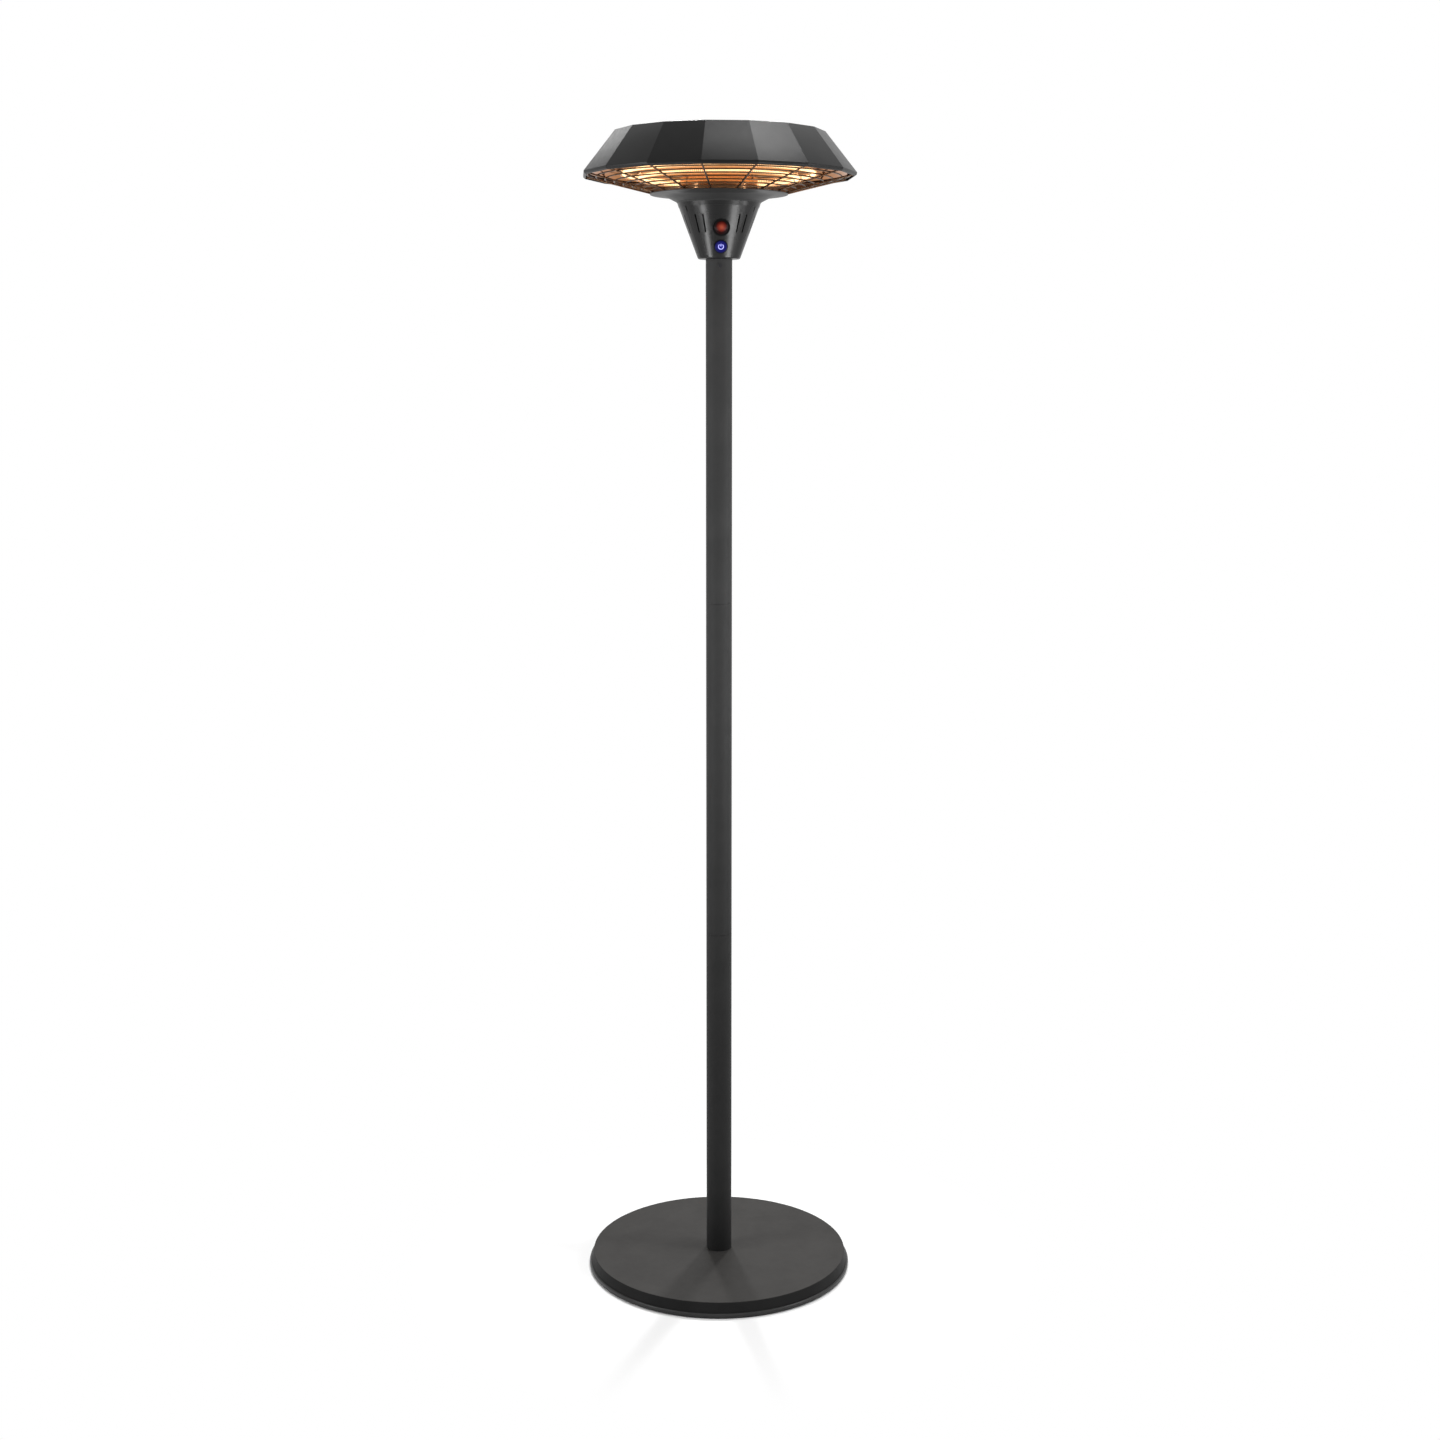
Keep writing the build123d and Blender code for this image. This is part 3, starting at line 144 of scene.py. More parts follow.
def seen_or_mirrored(tree):
    """1 for what is seen directly, in a mirror or through glass, and 0 for what only gives light."""
    rays = tree.nodes.new("ShaderNodeLightPath").outputs
    seen = combine(tree, "MAXIMUM", rays["Is Camera Ray"], rays["Is Glossy Ray"])
    return combine(tree, "MAXIMUM", seen, rays["Is Transmission Ray"])


sky = bpy.data.worlds.new("studio")
bpy.context.scene.world = sky
sky.use_nodes = True
backdrop = sky.node_tree.nodes["Background"]
backdrop.inputs["Color"].default_value = (1, 1, 1, 1)
strength = sky.node_tree.nodes.new("ShaderNodeMapRange")
strength.inputs["To Min"].default_value = fill_strength
strength.inputs["To Max"].default_value = background_white
sky.node_tree.links.new(seen_or_mirrored(sky.node_tree), strength.inputs["Value"])
sky.node_tree.links.new(strength.outputs["Result"], backdrop.inputs["Strength"])
bpy.context.scene.view_settings.view_transform = "Standard"
print("sky gives", fill_strength, "of the light that it shows")

# %% Softboxes
open_spread = 180
grid_spread = 90


def softbox(name, place, aim, size, power, spread=open_spread):
    """Area light turned to an aim, with its width and height, its watts and the angle that it fills."""
    data = bpy.data.lights.new(name, "AREA")
    data.shape = "RECTANGLE"
    data.size, data.size_y = size
    data.energy = power
    data.spread = radians(spread)
    lamp = bpy.data.objects.new(name, data)
    bpy.context.scene.collection.objects.link(lamp)
    lamp.location = place
    toward = Vector(aim) - Vector(place)
    lamp.rotation_euler = toward.to_track_quat("-Z", "Y").to_euler()
    lamp.visible_camera = False


strip_distance = 2.3
strip_angle = 74
strip_size = (0.5, 1.7)
strip_level = 1.8
strip_power = 31
for side, name in ((-1, "strip_left"), (1, "strip_right")):
    turn = radians(strip_angle)
    place = (side * strip_distance * sin(turn), -strip_distance * cos(turn), strip_level)
    softbox(name, place, (0, 0, strip_level), strip_size, strip_power)

housing_aim = (0, 0, 1.95)
shade_aim = (0, 0, 2.05)
shade_top_aim = (0, 0, 2.1)
pole_foot_aim = (0, 0, 0.6)
softboxes = [
    ("low_left", (-1.30, -0.85, 0.75), housing_aim, (0.45, 0.75), 5.7, grid_spread),
    ("low_right", (1.15, -0.95, 0.75), housing_aim, (0.75, 0.75), 8.7, grid_spread),
    ("overhead_right", (0.9, -0.15, 4.0), shade_aim, (0.8, 0.8), 36),
    ("overhead_front", (0.2, -0.35, 4.3), shade_aim, (0.7, 0.7), 16),
    ("rim_left", (-1.25, 2.9, 3.75), shade_top_aim, (0.6, 0.8), 5),
    ("back_left", (-0.3, 2.6, 4.4), pole_foot_aim, (0.25, 0.25), 96),
    ("back_right", (0.95, 2.1, 4.6), pole_foot_aim, (0.25, 0.25), 100),
]
for box in softboxes:
    softbox(*box)
print("two strips and", len(softboxes), "more softboxes")

# %% [markdown]
# ## The floor
# The floor is pale and plain. Near the base it is a real surface that holds the object's shadow, and
# further out it fades into the white of the sky, so that no horizon line crosses the picture. A studio
# hangs a sheet of paper in a wide curve for that, but a fade in the floor's material needs no second
# piece.

# %% Floor
floor_half = 30.0
floor_colour = (0.86, 0.86, 0.86, 1)
shadow_radius = 0.27
fade_radius = 0.62


def floor_paint():
    """Matt and pale near the pole, and as white as the sky where it is seen further out."""
    paint = bpy.data.materials.new("floor_paint")
    paint.use_nodes = True
    tree = paint.node_tree
    tree.nodes.clear()
    coordinates = tree.nodes.new("ShaderNodeTexCoord")
    length = tree.nodes.new("ShaderNodeVectorMath")
    length.operation = "LENGTH"
    tree.links.new(coordinates.outputs["Object"], length.inputs[0])
    fade = tree.nodes.new("ShaderNodeMapRange")
    fade.interpolation_type = "SMOOTHSTEP"
    fade.inputs["From Min"].default_value = shadow_radius
    fade.inputs["From Max"].default_value = fade_radius
    tree.links.new(length.outputs["Value"], fade.inputs["Value"])
    matt = tree.nodes.new("ShaderNodeBsdfDiffuse")
    matt.inputs["Color"].default_value = floor_colour
    glow = tree.nodes.new("ShaderNodeEmission")
    glow.inputs["Strength"].default_value = background_white
    mix = tree.nodes.new("ShaderNodeMixShader")
    seen = combine(tree, "MULTIPLY", fade.outputs["Result"], seen_or_mirrored(tree))
    tree.links.new(seen, mix.inputs["Fac"])
    tree.links.new(matt.outputs[0], mix.inputs[1])
    tree.links.new(glow.outputs[0], mix.inputs[2])
    output = tree.nodes.new("ShaderNodeOutputMaterial")
    tree.links.new(mix.outputs[0], output.inputs["Surface"])
    return paint


bpy.ops.object.select_all(action="DESELECT")
bpy.ops.mesh.primitive_plane_add(size=2 * floor_half, location=(0, 0, 0))
floor = bpy.context.object
floor.name = "floor"
floor.data.materials.append(floor_paint())
print("floor fades to white from", shadow_radius, "to", fade_radius, "m")

# %% [markdown]
# ## Finishes
# A finish could be a picture laid on the surface, but that blurs close up and needs every piece
# unwrapped. Here each finish is one material, made of nodes that read Object coordinates, so that a
# grain keeps its real size on every piece. A powder coat is a dark base with a fine orange-peel bump.
# Moulded plastic is smoother, with a faint grain. Bare metal gets its brushing or polish from its
# roughness.

# %% A plain finish


def socket(material, name):
    """An input of the material's shader."""
    return material.node_tree.nodes["Principled BSDF"].inputs[name]


def finish(name, colour, roughness, metallic=0.0, specular=0.5):
    """New material with a shader whose plain numbers are set on its own sockets."""
    material = bpy.data.materials.new(name)
    material.use_nodes = True
    socket(material, "Base Color").default_value = (*colour, 1)
    socket(material, "Roughness").default_value = roughness
    socket(material, "Metallic").default_value = metallic
    socket(material, "Specular IOR Level").default_value = specular
    return material


def grey(value, warm=0.0):
    """A grey, or a slightly warm one with more red and less blue."""
    return (value * (1 + warm), value, value * (1 - warm))


# %% Patterns on Object coordinates


def surface_points(tree, stretch=(1, 1, 1)):
    """Object coordinates, stretched along an axis where the grain runs that way."""
    coordinates = tree.nodes.new("ShaderNodeTexCoord")
    mapping = tree.nodes.new("ShaderNodeMapping")
    mapping.inputs["Scale"].default_value = stretch
    tree.links.new(coordinates.outputs["Object"], mapping.inputs["Vector"])
    return mapping.outputs["Vector"]


def noise(tree, size, detail=2.0, stretch=(1, 1, 1)):
    """Noise whose blobs are about this size in metres."""
    texture = tree.nodes.new("ShaderNodeTexNoise")
    texture.inputs["Scale"].default_value = 1 / size
    texture.inputs["Detail"].default_value = detail
    tree.links.new(surface_points(tree, stretch), texture.inputs["Vector"])
    return texture.outputs["Fac"]


def ramp_between(tree, share, stops):
    """Colours at places from 0 to 1."""
    ramp = tree.nodes.new("ShaderNodeValToRGB")
    for index, (place, colour) in enumerate(stops):
        if index < 2:
            stop = ramp.color_ramp.elements[index]
            stop.position = place
        else:
            stop = ramp.color_ramp.elements.new(place)
        stop.color = (*colour, 1)
    tree.links.new(share, ramp.inputs["Fac"])
    return ramp.outputs["Color"]


# %% Colour, roughness and bump
noise_low = 0.3
noise_high = 0.7


def vary_colour(material, size, dark, light, detail=3.0, stretch=(1, 1, 1)):
    """Base colour that wanders between a darker and a lighter tone."""
    tree = material.node_tree
    stops = [(noise_low, dark), (noise_high, light)]
    tone = ramp_between(tree, noise(tree, size, detail, stretch), stops)
    tree.links.new(tone, socket(material, "Base Color"))
    return material


def vary_roughness(material, size, low, high, detail=3.0, stretch=(1, 1, 1)):
    """Roughness that wanders between two values."""
    tree = material.node_tree
    span = tree.nodes.new("ShaderNodeMapRange")
    span.inputs["From Min"].default_value = noise_low
    span.inputs["From Max"].default_value = noise_high
    span.inputs["To Min"].default_value = low
    span.inputs["To Max"].default_value = high
    tree.links.new(noise(tree, size, detail, stretch), span.inputs["Value"])
    tree.links.new(span.outputs["Result"], socket(material, "Roughness"))
    return material


def grain(material, size, depth, detail=2.0, stretch=(1, 1, 1)):
    """Bump whose grains have this size and depth in metres."""
    tree = material.node_tree
    bump = tree.nodes.new("ShaderNodeBump")
    bump.inputs["Strength"].default_value = 1.0
    bump.inputs["Distance"].default_value = depth
    tree.links.new(noise(tree, size, detail, stretch), bump.inputs["Height"])
    tree.links.new(bump.outputs["Normal"], socket(material, "Normal"))
    return material


# %% Powder coat
mm = 0.001
coat_cloud = 45 * mm
coat_patch = 12 * mm
orange_peel = 1.1 * mm
orange_peel_depth = 0.02 * mm
# Painted light on faces that look up: its patch size, its warmth, and the upward share where it starts
# and where it is full.
top_light_cloud = 60 * mm
top_light_warmth = 0.04
top_light_starts = 0.5
top_light_full = 0.95


def powder_coat(name, dark, light, roughness, specular):
    """Baked powder: an even charcoal with an orange-peel surface of about a millimetre."""
    coat = finish(name, grey(dark), roughness, specular=specular)
    vary_colour(coat, coat_cloud, grey(dark), grey(light))
    vary_roughness(coat, coat_patch, roughness - 0.02, roughness + 0.02)
    return grain(coat, orange_peel, orange_peel_depth)


def painted_top_light(coat, dark, light):
    """Painted light: faces that look up are paler and warmer than the sides, in cloudy patches."""
    tree = coat.node_tree
    coat_tone = socket(coat, "Base Color").links[0].from_socket
    stops = [(0.35, grey(dark, top_light_warmth)), (0.65, grey(light, top_light_warmth))]
    top_light = ramp_between(tree, noise(tree, top_light_cloud, detail=4.0), stops)
    facing = tree.nodes.new("ShaderNodeSeparateXYZ")
    tree.links.new(tree.nodes.new("ShaderNodeTexCoord").outputs["Normal"], facing.inputs[0])
    upward = tree.nodes.new("ShaderNodeMapRange")
    upward.inputs["From Min"].default_value = top_light_starts
    upward.inputs["From Max"].default_value = top_light_full
    tree.links.new(facing.outputs["Z"], upward.inputs["Value"])
    mix = tree.nodes.new("ShaderNodeMix")
    mix.data_type = "RGBA"
    tree.links.new(upward.outputs["Result"], mix.inputs["Factor"])
    tree.links.new(coat_tone, mix.inputs["A"])
    tree.links.new(top_light, mix.inputs["B"])
    tree.links.new(mix.outputs["Result"], socket(coat, "Base Color"))
    return coat


# %% Moulded plastic
flow_length = 30 * mm
flow_stretch = (1, 1, 0.3)
gloss_patch = 60 * mm
moulded_pit = 0.5 * mm
moulded_pit_depth = 0.0004 * mm


def moulded(name, dark, light, roughness, specular=0.2):
    """Injection-moulded plastic: nearly smooth, with a faint flow and a fine grain."""
    plastic = finish(name, grey(dark), roughness, specular=specular)
    vary_colour(plastic, flow_length, grey(dark), grey(light), stretch=flow_stretch)
    vary_roughness(plastic, gloss_patch, roughness - 0.005, roughness + 0.01, detail=0.0)
    return grain(plastic, moulded_pit, moulded_pit_depth)


coats = {
    "shade_coat": powder_coat("shade_powder_coat", 0.007, 0.009, 0.34, specular=0.12),
    "charcoal_coat": powder_coat("pole_powder_coat", 0.031, 0.036, 0.48, specular=0.04),
    # The base's coat is a darker copy of the pole's coat, as painted shade on its sides, with painted
    # light on faces that look up.
    "base_coat_painted_light": painted_top_light(powder_coat("base_powder_coat_painted_light", 0.016, 0.020, 0.52, specular=0.05), 0.035, 0.041),
    "collar_coat": powder_coat("collar_powder_coat", 0.014, 0.017, 0.40, specular=0.15),
    "housing_plastic": moulded("housing_plastic", 0.005, 0.007, 0.27),
    "trim_plastic": moulded("trim_plastic", 0.03, 0.036, 0.34),
    "black_plastic": moulded("black_plastic", 0.002, 0.003, 0.35, specular=0.05),
    "switch_plastic": moulded("switch_plastic", 0.04, 0.05, 0.42),
    "relay_plastic": moulded("relay_plastic", 0.05, 0.06, 0.4),
}
print(len(coats), "coats and plastics")

# %% [markdown]
# ### Metals, glass and lit pieces
# The column is polished, so it mirrors the softboxes as pale streaks behind the wires. Its gold tone is a
# painted reflection of the lamps' glow. The reflector is a mirror whose gold tone is painted glow of the
# lamps. The lamps glow by themselves, and the reflector shows that glow again between the wires. The rest
# of the glow could be painted on the reflector, but a real mirror and a real light agree with each other
# from any side.

# %% Brushed and polished metal
brush_line = (1, 1, 0.05)
brush_width = 0.8 * mm
scratch_width = 0.5 * mm
scratch_depth = 0.004 * mm
ridge_pitch = 6 * mm
ridge_depth = 0.2 * mm
wave_factor = 20
polish_patch = 25 * mm
roller_patch = 14 * mm
roller_wave = 9 * mm
roller_wave_depth = 0.03 * mm


def brushed(name, colour, roughness):
    """Metal drawn or ground along its length, with fine lines that run upwards."""
    metal = finish(name, colour, roughness, metallic=1.0)
    vary_roughness(metal, brush_width, roughness - 0.08, roughness + 0.08, stretch=brush_line)
    return grain(metal, scratch_width, scratch_depth, stretch=brush_line)


def mirror_with_painted_glow():
    """Mirror sheet with a gold tone that is painted glow of the lamps, and with the fine ridges that the
    spinning tool leaves round the axis.

    The Wave texture multiplies distances by a factor of its own, which the scale takes out again."""
    # The gold tone of the mirror is painted glow of the lamps.
    metal = finish("gold_mirror", (0.42, 0.17, 0.055), 0.10, metallic=1.0)
    vary_roughness(metal, polish_patch, 0.07, 0.13)
    tree = metal.node_tree
    ridges = tree.nodes.new("ShaderNodeTexWave")
    ridges.wave_type = "RINGS"
    ridges.rings_direction = "Z"
    ridges.inputs["Scale"].default_value = 2 * pi / (wave_factor * ridge_pitch)
    ridges.inputs["Distortion"].default_value = 0.6
    tree.links.new(surface_points(tree), ridges.inputs["Vector"])
    bump = tree.nodes.new("ShaderNodeBump")
    bump.inputs["Distance"].default_value = ridge_depth
    tree.links.new(ridges.outputs["Fac"], bump.inputs["Height"])
    tree.links.new(bump.outputs["Normal"], socket(metal, "Normal"))
    return metal


def polished_column():
    """Bright rolled sheet, slightly wavy from rolling, with a thin gold tone that is a painted reflection
    of the lamps' glow.
    """
    # Painted reflection of the lamps' glow in the gold tone of the steel.
    metal = finish("polished_steel", (0.50, 0.27, 0.13), 0.16, metallic=1.0)
    vary_roughness(metal, roller_patch, 0.12, 0.17)
    return grain(metal, roller_wave, roller_wave_depth)


metals = {
    "zinc_steel": brushed("zinc_steel", (0.55, 0.56, 0.58), 0.34),
    "cast_aluminium": brushed("machined_aluminium", (0.62, 0.62, 0.63), 0.30),
    "brass": brushed("turned_brass", (0.72, 0.52, 0.24), 0.28),
    "blackened_steel": brushed("blackened_steel", (0.035, 0.035, 0.038), 0.38),
    # The reflector's and the column's gold tones are painted glow of the lamps.
    "gold_mirror": mirror_with_painted_glow(),
    "polished_steel": polished_column(),
    "guard_wire": brushed("baked_wire", (0.075, 0.044, 0.026), 0.36),
}
print(len(metals), "metals")

# %% Ceramic, concrete, board and rubber


def fired_ceramic():
    """End caps of the lamps: an off-white fired body with tiny pores."""
    clay = finish("fired_ceramic", (0.72, 0.69, 0.62), 0.35)
    vary_colour(clay, 6 * mm, (0.66, 0.62, 0.54), (0.78, 0.75, 0.69))
    return grain(clay, 1.5 * mm, 0.02 * mm)


def cast_concrete():
    """Ballast: grey, rough and pitted."""
    stone = finish("cast_concrete", (0.33, 0.32, 0.30), 0.9)
    vary_colour(stone, 9 * mm, (0.27, 0.26, 0.24), (0.40, 0.39, 0.37), detail=6.0)
    return grain(stone, 3 * mm, 0.4 * mm, detail=5.0)


def circuit_green():
    """Solder mask over the tracks of the control board."""
    board = finish("circuit_green", (0.01, 0.12, 0.04), 0.3)
    vary_colour(board, 3 * mm, (0.008, 0.10, 0.035), (0.02, 0.17, 0.06), detail=0.0)
    return grain(board, 2 * mm, 0.02 * mm)


def rubber(name, value):
    """Soft matt rubber or sleeving, a little cloudy."""
    soft = finish(name, grey(value), 0.75, specular=0.3)
    vary_colour(soft, 5 * mm, grey(value * 0.8), grey(value * 1.2))
    return grain(soft, 0.8 * mm, 0.03 * mm)


fillings = {
    "ceramic": fired_ceramic(),
    "ballast_concrete": cast_concrete(),
    "board_green": circuit_green(),
    "black_rubber": rubber("black_rubber", 0.018),
    "cable_rubber": rubber("cable_rubber", 0.012),
    "silicone": rubber("clear_silicone", 0.45),
    "lead_sleeve": rubber("woven_sleeve", 0.55),
}
print(len(fillings), "finishes of the inner pieces")

# %% Lamp glass and filament
lamp_cloud = 18 * mm
hot_patch = 14 * mm


def glow(material, colour, strength):
    """Make a finish give light of its own."""
    socket(material, "Emission Color").default_value = (*colour, 1)
    socket(material, "Emission Strength").default_value = strength
    return material


def lamp_glass():
    """Gold-coated quartz: a lit tube that still lets the filament show through."""
    quartz = finish("lit_quartz", (0.30, 0.10, 0.02), 0.12, specular=0.3)
    socket(quartz, "Alpha").default_value = 0.35
    vary_colour(quartz, lamp_cloud, (0.26, 0.085, 0.016), (0.34, 0.12, 0.025))
    vary_roughness(quartz, lamp_cloud, 0.09, 0.16)
    return glow(quartz, (1.0, 0.54, 0.22), 0.50)


def lit_filament():
    """Glowing tungsten wire, a little hotter in some turns than in others."""
    wire = glow(finish("lit_filament", (0.3, 0.15, 0.05), 0.5), (1.0, 0.66, 0.34), 5.2)
    tree = wire.node_tree
    stops = [(noise_low, (1.0, 0.62, 0.30)), (noise_high, (1.0, 0.70, 0.38))]
    heat = ramp_between(tree, noise(tree, hot_patch), stops)
    tree.links.new(heat, socket(wire, "Emission Color"))
    return wire


lamps = {"gold_quartz": lamp_glass(), "filament": lit_filament()}
print(len(lamps), "finishes of the lamps")

# %% [markdown]
# ### The sensor window and the button
# The window is a dome of dark red plastic that only infrared light passes. Light from the front gathers
# in its middle, and this is painted into its colour: a painted highlight in a bright centre, running to
# painted shade at a nearly black edge. The button is a deep blue cap over a lamp, brightest round its
# sign. Real light inside these pieces would be slow and noisy. A distance from the middle, read through a
# colour ramp, gives the same soft change of tone from any side.

# %% Sensor window


def from_centre(tree, centre, radius):
    """0 in the middle of a round piece and 1 at its edge, measured on Object coordinates."""
    coordinates = tree.nodes.new("ShaderNodeTexCoord")
    away = tree.nodes.new("ShaderNodeVectorMath")
    away.operation = "DISTANCE"
    away.inputs[1].default_value = centre
    tree.links.new(coordinates.outputs["Object"], away.inputs[0])
    share = tree.nodes.new("ShaderNodeMapRange")
    share.inputs["From Max"].default_value = radius
    tree.links.new(away.outputs["Value"], share.inputs["Value"])
    return share.outputs["Result"]


def sensor_red():
    """Dark red filter plastic, with a painted highlight in its middle and painted shade towards its edge.
    """
    window = finish("sensor_red", (0.25, 0.02, 0.01), 0.35, specular=0.05)
    tree = window.node_tree
    share = from_centre(tree, window_crown, window_radius)
    tree.links.new(ramp_between(tree, share, window_painted_light), socket(window, "Base Color"))
    return window


window_low, window_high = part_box("sensor_lens")
window_radius = (window_high.x - window_low.x) / 2
window_crown = (window_low + window_high) / 2
window_crown.y = window_low.y
# Painted highlight in the middle of the window and painted shade towards its edge, as places from 0 to 1.
window_painted_light = [(0.12, (0.25, 0.048, 0.026)), (0.86, (0.008, 0.001, 0.001)), (0.50, (0.12, 0.013, 0.008))]
window_red = sensor_red()
print("window radius", round(window_radius, 4))

# %% Button and its lamp
front_lean = radians(20.6)
button_out = Vector((0, -cos(front_lean), -sin(front_lean)))
button_radius = 11.0 * mm
button_glow = [(0.28, (0.008, 0.009, 0.22)), (0.95, (0.001, 0.001, 0.035)), (0.60, (0.004, 0.004, 0.11))]
same_place = 0.05 * mm


def middle_of_button():
    """Middle of the button's face: of all its corners that reach furthest out of the housing."""
    corners = [v.co for v in nodes["power_button"].data.vertices]
    reach = max(corner.dot(button_out) for corner in corners)
    front = [corner for corner in corners if corner.dot(button_out) > reach - same_place]
    face = sum(front, Vector()) / len(front)
    face.x = 0
    return face


def lit_blue(name, centre, radius, stops):
    """Translucent blue plastic over a lamp: it glows most round the symbol in its middle."""
    cap = finish(name, (0.003, 0.003, 0.03), 0.35, specular=0.06)
    tree = cap.node_tree
    share = from_centre(tree, centre, radius)
    tree.links.new(ramp_between(tree, share, stops), socket(cap, "Emission Color"))
    socket(cap, "Emission Strength").default_value = 1.0
    return grain(cap, 0.5 * mm, 0.0015 * mm)


def led_lens():
    """Clear blue lens of the small lamp behind the button."""
    lens = grain(finish("led_lens", (0.2, 0.3, 1.0), 0.1), 1 * mm, 0.002 * mm)
    return glow(lens, (0.1, 0.15, 1.0), 3.0)


button_face = middle_of_button()
print("button's middle", [round(value, 5) for value in button_face])
lit = {
    "sensor_window": window_red,
    "button_blue": lit_blue("button_blue", button_face, button_radius, button_glow),
    "led_lens": led_lens(),
}
finishes = {**coats, **metals, **fillings, **lamps, **lit}

# %% [markdown]
# ### Dressing the frame's own pieces
# Most pieces already have their right shape, so they only need their finish. It could be given piece by
# piece, but the record already says which finish slot each piece has, so one loop does it. The base and
# the collar share the pole's coat in the record, but differ a little in tone. The base's darker tone is
# painted shade on its sides, and its paler upward faces are painted light. The outer screws are
# blackened.

# %% Give every frame piece its finish
# The base's tone is painted shade and painted light on the pole's coat.
tones = {"base_cover": "base_coat_painted_light", "collar": "collar_coat", "pole_set_screw": "blackened_steel",
         "shade_screws": "blackened_steel"}
for row in frame["record"]["subparts"]:
    mesh = nodes[row["node"]].data
    mesh.materials.clear()
    mesh.materials.append(finishes[tones.get(row["node"], row["material_slot"])])
print(len(nodes), "frame pieces dressed")

# %% [markdown]
# ## Modelling helpers
# Each new piece is shaped in edit mode, as by hand. Afterwards its doubled corners are merged, its faces
# turned outwards, its shading smoothed below an angle, and its place put into its mesh. At last it is
# tied to its body and takes the place of the frame's plain piece. These steps repeat for every piece, so
# they are functions.

# %% Helpers that select, smooth and settle
merge_reach = 0.002 * mm


def clear_selection():
    """Leave edit mode and select nothing, because an operator acts on all that is selected."""
    if bpy.context.object and bpy.context.object.mode == "EDIT":
        bpy.ops.object.mode_set(mode="OBJECT")
    bpy.ops.object.select_all(action="DESELECT")


def pick(piece):
    """Select one piece alone and make it the active one."""
    clear_selection()
    piece.select_set(True)
    bpy.context.view_layer.objects.active = piece


def smooth(piece, sharp):
    """Smooth shading, with edges kept sharp from this angle on."""
    pick(piece)
    bpy.ops.object.shade_smooth_by_angle(angle=radians(sharp))


def leave_edit(piece, sharp=35):
    """Merge doubles, turn the faces outwards and shade smooth below an angle."""
    bpy.ops.mesh.select_all(action="SELECT")
    bpy.ops.mesh.remove_doubles(threshold=merge_reach)
    bpy.ops.mesh.normals_make_consistent(inside=False)
    bpy.ops.object.mode_set(mode="OBJECT")
    smooth(piece, sharp)


def settle(piece):
    """Put a piece's place into its mesh, so that its object is at the origin."""
    pick(piece)
    bpy.ops.object.transform_apply(location=True, rotation=True, scale=True)


# %% Helpers that finish a piece


def apply_modifiers(piece):
    """Apply all modifiers in their order."""
    pick(piece)
    for modifier in list(piece.modifiers):
        bpy.ops.object.modifier_apply(modifier=modifier.name)


def join(pieces, name):
    """One piece out of several."""
    clear_selection()
    for piece in pieces:
        piece.select_set(True)
    bpy.context.view_layer.objects.active = pieces[0]
    bpy.ops.object.join()
    joined = bpy.context.object
    joined.name = name
    return joined


def hand_over(piece, slot, body, *replaced, material=None):
    """Finish a piece: its material, its body and the frame pieces that it stands for."""
    settle(piece)
    piece.data.materials.clear()
    piece.data.materials.append(material or finishes[slot])
    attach(piece, body)
    if replaced:
        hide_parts(*replaced)
    print(piece.name, "has", len(piece.data.polygons), "faces")


# %% [markdown]
# ## The folded shade
# The real shade is one sheet of steel, folded into sixteen flat facets round a flat top. Each fold has a
# small bend radius, which catches the light as a thin line. A cone would give the slope alone, so the
# shade starts as a circle of sixteen corners instead. Its rim is extruded and scaled ring by ring, as
# the sheet is folded. The sheet then gets its thickness, and the folds are bevelled.

# %% Shade sizes
shade_sides = 16
sheet = 1.2 * mm
band_height = 4.0 * mm
band_draft = 0.5 * mm
lip_width = 3.6 * mm
lip_drop = 2.8 * mm
fold_radius = 1.3 * mm
fold_angle = 8
facet_sharp = 30
top_window = 0.1 * mm
shade_rim_radius = widest("shade")[0]
shade_rim_level = shade_low + lip_drop + band_height
shade_top_radius = max(r for r, z in radial_points("shade") if z > shade_high - top_window)
print("shade", round(shade_rim_radius, 4), "at its rim and", round(shade_top_radius, 4), "at its top")

# %% Rings of the shade


def ring_of_shade(radius, level, previous_radius, previous_level):
    """Extrude the selected loop straight up or down, then scale it to its new radius."""
    rise = (0, 0, level - previous_level)
    bpy.ops.mesh.extrude_region_move(TRANSFORM_OT_translate={"value": rise})
    share = radius / previous_radius
    bpy.ops.transform.resize(value=(share, share, 1), center_override=(0, 0, level))


def select_level(piece, level):
    """In edit mode, select only the edges that lie at a level."""
    bpy.ops.mesh.select_all(action="DESELECT")
    bpy.ops.mesh.select_mode(type="EDGE")
    bpy.ops.object.mode_set(mode="OBJECT")
    corners = piece.data.vertices
    for edge in piece.data.edges:
        edge.select = all(abs(corners[index].co.z - level) < same_place for index in edge.vertices)
    bpy.ops.object.mode_set(mode="EDIT")


# %% Fold the shade


